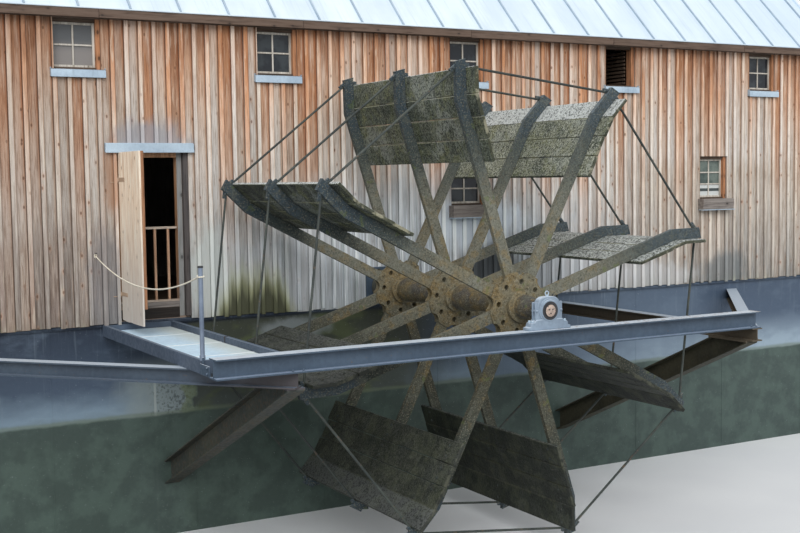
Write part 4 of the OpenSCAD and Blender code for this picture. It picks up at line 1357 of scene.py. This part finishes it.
def make_doorway():
    left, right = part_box("door_guard")
    rail_low, rail_high = right.z - 0.032, right.z
    bm = new_shape()
    block(bm, (left.x, left.y, rail_low), (right.x, right.y, rail_high), 0.004, finish=1)
    first = DOOR_R - 0.138 - 0.121 - 0.016
    for k in range(4):
        x = first - k * 0.178
        block(bm, (x, left.y, left.z), (x + 0.032, right.y, rail_low), 0.004)
    piece("door_guard_bars", bm, "mill", ["guard", "frame_level"], ["door_guard"])
    bm = new_shape()
    # the right side's two facing boards, on the face of its post
    head = DOOR_TOP - 0.004
    block(bm, (DOOR_R - 0.138, -2.936, LEAF_LOW), (DOOR_R - 0.069, POST_FACE, head), 0.002)
    # the second board's dark tint is painted shade beside the wall's boarding
    block(bm, (DOOR_R - 0.067, -2.995, LEAF_LOW), (DOOR_R - 0.001, POST_FACE, head), 0.003,
          finish=1)
    piece("door_side_boards", bm, "mill", ["jamb_grey", "jamb_in_painted_shade"])
    bm = new_shape()
    # a pale nosing on the sill, a grey board under it, and the boards below painted near black as
    # shade in the recess
    end = DOOR_R - 0.14
    block(bm, (DOOR_L + 0.004, -2.938, 3.118), (end, -2.929, 3.146), 0.003, finish=2)
    block(bm, (DOOR_L + 0.07, -2.94, 3.04), (end, -2.929, 3.116), 0.003)
    block(bm, (DOOR_L + 0.004, -2.934, 2.9), (end, POST_FACE, 3.036), 0.002, finish=1)
    piece("door_sill_boards", bm, "mill", ["grey_timber", "recess_painted_shade", "frame_level"])
    bm = new_shape()
    low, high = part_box("door_flashing")
    # a folded front edge, and a bead of sealing where the sheet meets the battens
    block(bm, (low.x - 0.004, low.y - 0.004, low.z - 0.01),
          (high.x + 0.004, low.y + 0.002, low.z + 0.022), 0.002)
    block(bm, (low.x, -3.036, high.z - 0.002), (high.x, -3.001, high.z + 0.008), 0.003)
    piece("door_flashing_fold", bm, "mill", ["sheet"])


make_door()
make_doorway()

# Wheel

ARM_N = 8
ARM_TURN = 105.6
NEAR_Y, MID_Y, FAR_Y = -6.37, -4.95, -3.53
FRAMES_Y = (NEAR_Y, MID_Y, FAR_Y)
ARM_IN, BEND_R, TIP_R = 0.2, 2.56, 2.99
BEND_LEAD, TIP_LAG = 0.085, 0.025
ARM_HALF_W, ARM_HALF_T = 0.07, 0.03
CHEEK_T, FLANGE_T = 0.025, 0.05
PLANK_T = 0.046
PADDLE_OVER = 0.24
PLANKS = ((1.782, 2.052), (2.06, 2.322), (2.33, 2.592), (2.6, 2.898))
ROD_AT = 2.94
# profiles for the lathe: distance along the axle, then radius
FLANGE = ((0.0, 0.112), (0.0, 0.188), (0.004, 0.192), (0.012, 0.192), (0.016, 0.186),
          (0.016, 0.15), (0.022, 0.146), (0.05, 0.142), (0.056, 0.136), (0.056, 0.112))
LONG_SLEEVE = ((0.0, 0.112), (0.0, 0.148), (0.02, 0.160), (0.08, 0.165), (0.16, 0.160),
               (0.3, 0.148), (0.5, 0.136), (0.72, 0.124), (0.74, 0.118), (0.75, 0.111))
NEAR_SLEEVE = ((0.0, 0.111), (0.0, 0.14), (0.03, 0.146), (0.1, 0.138), (0.2, 0.122),
               (0.24, 0.116), (0.25, 0.111))
AXLE_RIM = ((0.009, 0.07), (0.003, 0.0705), (0.0, 0.0715), (0.0, 0.073), (0.004, 0.0745),
            (0.009, 0.0745))


def arm_place(k):
    """Turns (out along the arm, along the axle, clockwise side down) to its place."""
    turn = math.radians(ARM_TURN + 360 / ARM_N * k)
    return stand(0, 0, AXLE_Z, -turn, "Y")


def arm_lead(far):
    """How far ahead of the spoke line the arm's middle is, at a radius."""
    if far <= BEND_R:
        return BEND_LEAD * (far - ARM_IN) / (BEND_R - ARM_IN)
    return BEND_LEAD - (BEND_LEAD + TIP_LAG) * (far - BEND_R) / (TIP_R - BEND_R)


def make_planks():
    bm = new_shape()
    low_y, high_y = NEAR_Y - PADDLE_OVER, FAR_Y + PADDLE_OVER
    for k in range(ARM_N):
        for inner, outer in PLANKS:
            face = [arm_lead(x) - ARM_HALF_W - 0.001 for x in (inner, outer)]
            if inner < BEND_R < outer:
                face[1] = face[0] + (outer - inner) * BEND_LEAD / (BEND_R - ARM_IN) - 0.006
            slant = math.atan2(face[1] - face[0], outer - inner)
            # the sawn ends don't line up, and the faces are worn in hollows
            a = low_y + chance.uniform(0.0, 0.035)
            b = high_y - chance.uniform(0.0, 0.03)
            thick = PLANK_T - chance.uniform(0.0, 0.006)
            wide = math.hypot(outer - inner, face[1] - face[0])
            made = block(bm, (0, a, -thick), (wide, b, 0), 0.006)
            long_edges = [e for e in {e for v in made for e in v.link_edges}
                          if abs(e.verts[0].co.y - e.verts[1].co.y) > 1.0]
            made = divided(bm, long_edges, 22)
            seed = chance.uniform(0, 90)
            for v in made:
                ends = 1.0 if v.co.y < a + 0.01 or v.co.y > b - 0.01 else 0.35
                v.co += Vector((
                    0.006 * ends * noise.noise(Vector((v.co.y * 5, v.co.x * 9, seed))),
                    0.02 * ends * noise.noise(Vector((v.co.x * 14, seed, v.co.z * 20))),
                    -0.004 + 0.003 * noise.noise(Vector((v.co.y * 3, seed, v.co.x * 6))),
                ))
            settle(bm, made, turn=arm_place(k) @ stand(inner, 0, face[0], -slant, "Y"))
    piece("paddle_planks", bm, "wheel", ["planks"], ["paddles"])
    bm = new_shape()
    for k in range(ARM_N):
        for y in FRAMES_Y:
            for inner, outer in PLANKS:
                for far in (inner + 0.07, outer - 0.07):
                    face = arm_lead(far) - ARM_HALF_W - PLANK_T + 0.001
                    place = arm_place(k) @ stand(far, y, face)
                    bolt(bm, (0, 0, 0), (0, 0, -1), 0.014, 0.014, turn=place)
    piece("plank_bolts", bm, "wheel", ["rod"])


def make_arm_ends():
    """A plate across each arm's tip with the rods' flattened ends bolted to it."""
    bm = new_shape()
    half_step = math.radians(180 / ARM_N)
    for k in range(ARM_N):
        place = arm_place(k)
        for y in FRAMES_Y:
            block(bm, (2.984, y - 0.034, -0.098), (2.996, y + 0.034, 0.048), 0.002, turn=place)
            for side in (-1, 1):
                # the rods leave the tip along the chords to the next arms
                lean = place @ stand(ROD_AT, 0, side * 0.06, -side * half_step, "Y")
                low, high = sided(side, -0.03, 0.08)
                block(bm, (-0.02, y - 0.017, low), (0.02, y + 0.017, high), 0.004, turn=lean)
                bolt(bm, (0, y - 0.017, side * 0.03), (0, -1, 0), 0.012, 0.012, turn=lean)
    piece("arm_tip_plates", bm, "wheel", ["arm"])


def make_hub_ironwork():
    bm = new_shape()
    for k in range(ARM_N):
        place = arm_place(k)
        for y in FRAMES_Y:
            for side in (-1, 1):
                face = y + side * (ARM_HALF_T + CHEEK_T)
                for far, off in ((0.245, 0.0), (0.375, 0.03), (0.375, -0.03)):
                    bolt(bm, (far, face, off + arm_lead(far)), (0, side, 0), 0.014, 0.016,
                         turn=place)
    piece("hub_bolts", bm, "wheel", ["hub"])
    bm = new_shape()
    for y in FRAMES_Y:
        for side in (-1, 1):
            face = y + side * (ARM_HALF_T + CHEEK_T + FLANGE_T)
            turned_on_axle(bm, FLANGE, face, side)
            for k in range(8):
                a = math.tau * (k + 0.5) / 8
                at = (0.169 * math.cos(a), face + side * 0.016, AXLE_Z + 0.169 * math.sin(a))
                bolt(bm, at, (0, side, 0), 0.01, 0.012)
    piece("hub_flanges", bm, "wheel", ["hub"])
    bm = new_shape()
    for y in (MID_Y, FAR_Y):
        turned_on_axle(bm, LONG_SLEEVE, y - 0.16, -1)
    turned_on_axle(bm, NEAR_SLEEVE, NEAR_Y - 0.14, -1)
    piece("axle_sleeves", bm, "wheel", ["axle"])
    bm = new_shape()
    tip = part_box("axle")[0].y - 0.009
    turned_on_axle(bm, [(0.0, 0.001), (0.0, 0.061), (0.004, 0.07), (0.009, 0.07)], tip, 1)
    turned_on_axle(bm, AXLE_RIM, tip, 1, finish=1)
    for k in range(3):
        a = math.tau * k / 3 + 0.5
        at = (0.03 * math.cos(a), tip, AXLE_Z + 0.03 * math.sin(a))
        bolt(bm, at, (0, -1, 0), 0.006, 0.007, finish=1)
    piece("axle_end", bm, "wheel", ["bare_end", "dark_iron"])


make_planks()
make_arm_ends()
make_hub_ironwork()

# Outer bearing

BEAM_Y = -7.02
BEAM_TOP = 2.932
BEAM_UNDER = 2.723
BLOCK_Y = BEAM_Y + 0.04
BLOCK_HALF_W = 0.06
CROWN_RISE = 0.163
BEARING_COVER = ((0.0, 0.078), (0.0, 0.146), (0.005, 0.146), (0.010, 0.14), (0.010, 0.128),
                 (0.018, 0.122), (0.018, 0.078))
BEARING_SEAL = ((0.0, 0.0765), (0.0, 0.108), (0.019, 0.108), (0.021, 0.106), (0.021, 0.0765))
WALL_RING = ((0.0, 0.1105), (0.0, 0.2), (0.012, 0.2), (0.02, 0.19), (0.03, 0.15),
             (0.045, 0.145), (0.045, 0.1105))
# the right half of the casting's foot, out from its middle and up
FOOT = ((0.3, 0.0), (0.3, 0.026), (0.29, 0.036), (0.262, 0.04), (0.258, 0.076), (0.245, 0.086),
        (0.205, 0.09), (0.18, 0.12))


def make_bearing():
    bm = new_shape()
    near, far = BLOCK_Y - BLOCK_HALF_W, BLOCK_Y + BLOCK_HALF_W
    mirrored = [(-x, z) for x, z in reversed(FOOT)]
    foot = [mirrored[-1], *FOOT, *mirrored[:-1]]
    outline(bm, foot, far - near, 0.006, turn=stand(0, near, BEAM_TOP))
    rise = AXLE_Z - BEAM_TOP
    half_round = [(0.165 * math.copysign(abs(math.cos(a)) ** 0.62, math.cos(a)),
                   rise + CROWN_RISE * math.sin(a) ** 0.8)
                  for a in (math.pi * k / 20 for k in range(21))]
    body = [(-0.188, 0.11), (0.188, 0.11), (0.174, 0.14), *half_round, (-0.174, 0.14)]
    outline(bm, body, 0.096, 0.008, turn=stand(0, BLOCK_Y - 0.048, BEAM_TOP))
    # the joint of the cap, ribs down to the foot, and the foot's bolts
    for side in (-1, 1):
        low, high = sided(side, 0.15, 0.186)
        block(bm, (low, BLOCK_Y - 0.052, AXLE_Z - 0.012),
              (high, BLOCK_Y + 0.052, AXLE_Z + 0.012), 0.004)
        for y in (BLOCK_Y - 0.03, BLOCK_Y + 0.03):
            low, high = sided(side, 0.15, 0.19)
            block(bm, (low, y - 0.008, BEAM_TOP + 0.1), (high, y + 0.008, AXLE_Z + 0.1), 0.004)
            bolt(bm, (side * 0.228, y, BEAM_TOP + 0.088), (0, 0, 1), 0.016, 0.022, finish=2)
    # covers on both faces
    for side in (-1, 1):
        face = BLOCK_Y + side * 0.048
        turned_on_axle(bm, BEARING_COVER, face, side)
        turned_on_axle(bm, BEARING_SEAL, face, side, finish=1)
    # lifting eye and grease nipple on the crown
    crown = AXLE_Z + CROWN_RISE
    rod(bm, (0, BLOCK_Y, crown - 0.006), (0, BLOCK_Y, crown + 0.016), 0.018, 16, 0.003, finish=2)
    ring = [(0.024 * math.sin(a), crown + 0.034 + 0.024 * math.cos(a))
            for a in (math.tau * k / 20 for k in range(20))]
    for (x0, z0), (x1, z1) in zip(ring, [*ring[1:], ring[0]]):
        rod(bm, (x0, BLOCK_Y, z0), (x1, BLOCK_Y, z1), 0.0065, 8, finish=2)
    nipple = (0.082, BLOCK_Y, AXLE_Z + 0.175)
    rod(bm, (0.07, BLOCK_Y, AXLE_Z + 0.146), nipple, 0.006, 10, 0.001, finish=1)
    rod(bm, nipple, (0.085, BLOCK_Y, AXLE_Z + 0.183), 0.008, 10, 0.002, finish=1)
    piece("outer_bearing_casting", bm, "mill", ["bearing", "dark_iron", "sheet"],
          ["outer_bearing"])
    bm = new_shape()
    low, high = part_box("wall_bearing")
    for x in (-0.24, -0.08, 0.08, 0.24):
        for z in (low.z + 0.05, high.z - 0.045):
            bolt(bm, (x, low.y, z), (0, -1, 0), 0.016, 0.018)
    turned_on_axle(bm, WALL_RING, low.y, -1)
    piece("wall_bearing_ring", bm, "mill", ["strut_steel"])


make_bearing()

# Beams and walkway


def make_beam_fittings():
    bm = new_shape()
    for x in (-3.26, -3.14, 3.14, 3.22):
        for side in (-1, 1):
            bolt(bm, (x, BEAM_Y + side * 0.06, BEAM_UNDER + 0.016), (0, 0, 1), 0.012, 0.016)
    # the cleat and pins between the walkway's corner and the beam's end
    block(bm, (-4.098, -6.92, 2.73), (-4.086, -6.64, 2.84), 0.002)
    for z in (2.755, 2.815):
        bolt(bm, (-4.098, -6.86, z), (-1, 0, 0), 0.012, 0.016)
    rod(bm, (-4.06, -6.64, 2.75), (-4.06, -6.64, 2.90), 0.012, 12, 0.002)
    piece("beam_fittings", bm, "mill", ["steel"])


PLATE_JOINTS_Y = (-5.86, -4.86, -3.86)
SPLICE_Y = -4.96


def make_walkway():
    bm = new_shape()
    low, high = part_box("walkway_deck")
    joints = (low.y, *PLATE_JOINTS_Y, high.y)
    for start, end in zip(joints, joints[1:]):
        block(bm, (low.x + 0.004, start + 0.006, high.z),
              (high.x - 0.004, end - 0.006, high.z + 0.008), 0.0015)
        for x in (low.x + 0.05, high.x - 0.05):
            for y in (start + 0.04, end - 0.04):
                rod(bm, (x, y, high.z + 0.006), (x, y, high.z + 0.009), 0.009, 10, 0.001)
    for y in PLATE_JOINTS_Y:
        block(bm, (low.x + 0.004, y - 0.018, high.z + 0.0075),
              (high.x - 0.004, y + 0.018, high.z + 0.0105), 0.001, finish=1)
    piece("walkway_plates", bm, "mill", ["deck", "deck_joint"])
    bm = new_shape()
    low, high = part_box("walkway_frame")
    # thin edge bars on top of the frames, and the splice in the right one
    for x in (low.x + 0.004, high.x - 0.014):
        block(bm, (x, low.y + 0.004, high.z), (x + 0.01, high.y - 0.004, high.z + 0.004), 0.001)
    block(bm, (high.x, SPLICE_Y - 0.12, low.z + 0.02),
          (high.x + 0.01, SPLICE_Y + 0.12, high.z - 0.02), 0.002)
    block(bm, (high.x - 0.058, SPLICE_Y - 0.01, low.z + 0.04),
          (high.x + 0.004, SPLICE_Y + 0.01, high.z + 0.006), 0.001, finish=1)
    for y in (SPLICE_Y + k for k in (-0.09, -0.04, 0.04, 0.09)):
        for z in (low.z + 0.045, high.z - 0.045):
            bolt(bm, (high.x + 0.01, y, z), (1, 0, 0), 0.009, 0.012)
    piece("walkway_splice", bm, "mill", ["walk_frame", "dark_iron"])
    bm = new_shape()
    low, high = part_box("walkway_post")
    x, y = (low.x + high.x) / 2, (low.y + high.y) / 2
    turned(bm, [(0.0, 0.001), (0.0, 0.0285), (0.012, 0.0295), (0.02, 0.026), (0.022, 0.001)],
           (x, y, high.z - 0.012), (x, y, high.z + 1), 24, finish=1)
    block(bm, (x - 0.024, y - 0.024, low.z), (x + 0.024, y + 0.034, low.z + 0.01), 0.002)
    turned(bm, [(0.0, 0.0242), (0.0, 0.03), (0.05, 0.03), (0.055, 0.0242)], (x, y, low.z),
           (x, y, low.z + 1), 24)
    piece("walkway_post_fittings", bm, "mill", ["post", "dark_iron"])


def make_hull_fittings():
    """A rubbing edge along the top of the hull's sides, and straps over its plate joints."""
    bm = new_shape()
    for side in (-1, 1):
        low, high = sided(side, 2.97, 2.984)
        block(bm, (-9.62, low, 2.842), (9.62, high, 2.88), 0.004)
        for k in range(10):
            x = -8.55 + k * 1.9
            low, high = sided(side, 2.94, 2.944)
            block(bm, (x - 0.012, low, 0.06), (x + 0.012, high, 2.82), 0.0015)
    piece("hull_edge", bm, "mill", ["hull"])


make_beam_fittings()
make_walkway()
make_hull_fittings()

# Floor and light

FLOOR_HALF = 60.0
SKY_LEVEL = 0.86
SKY_TINT = (0.96, 0.98, 1.0, 1.0)
SUN_STRENGTH = 1.75
SUN_SPREAD = math.radians(40)
SUN_TURN = (math.radians(58), 0, math.radians(-28))


def seen_direct(r):
    """1 for rays that come to the camera, off a mirror or through glass."""
    ray = r.put("LightPath").outputs
    seen = r.sum("MAXIMUM", ray["Is Camera Ray"], ray["Is Glossy Ray"])
    return r.sum("MAXIMUM", seen, ray["Is Transmission Ray"])


def make_stage():
    r = new_finish("studio_floor")
    grain = r.noise(r.place, 0.4, 3.0, 0.5)
    pale = r.blend(r.remap(grain, 0.3, 0.7), (226, 228, 229), (220, 222, 224))
    r.colour = r.blend(seen_direct(r), (150, 152, 152), pale)
    bm = new_shape()
    bmesh.ops.create_grid(bm, x_segments=8, y_segments=8, size=FLOOR_HALF)
    mesh = mesh_of("studio_floor", bm)
    mesh.materials.append(r.surface(0.9))
    placed("studio_floor", mesh)

    world = bpy.data.worlds.new("studio")
    bpy.context.scene.world = world
    world.use_nodes = True
    r = Recipe(world.node_tree)
    level = r.linear(seen_direct(r), 0, 1, SKY_LEVEL, 1.0)
    sky = r.put("Background", {"Color": SKY_TINT, "Strength": level})
    r.put("OutputWorld", {"Surface": sky.outputs[0]})

    sun = bpy.data.lights.new("soft_sun", "SUN")
    sun.energy = SUN_STRENGTH
    sun.angle = SUN_SPREAD
    placed("soft_sun", sun).rotation_euler = SUN_TURN


make_stage()
bpy.context.scene.view_settings.view_transform = "Standard"
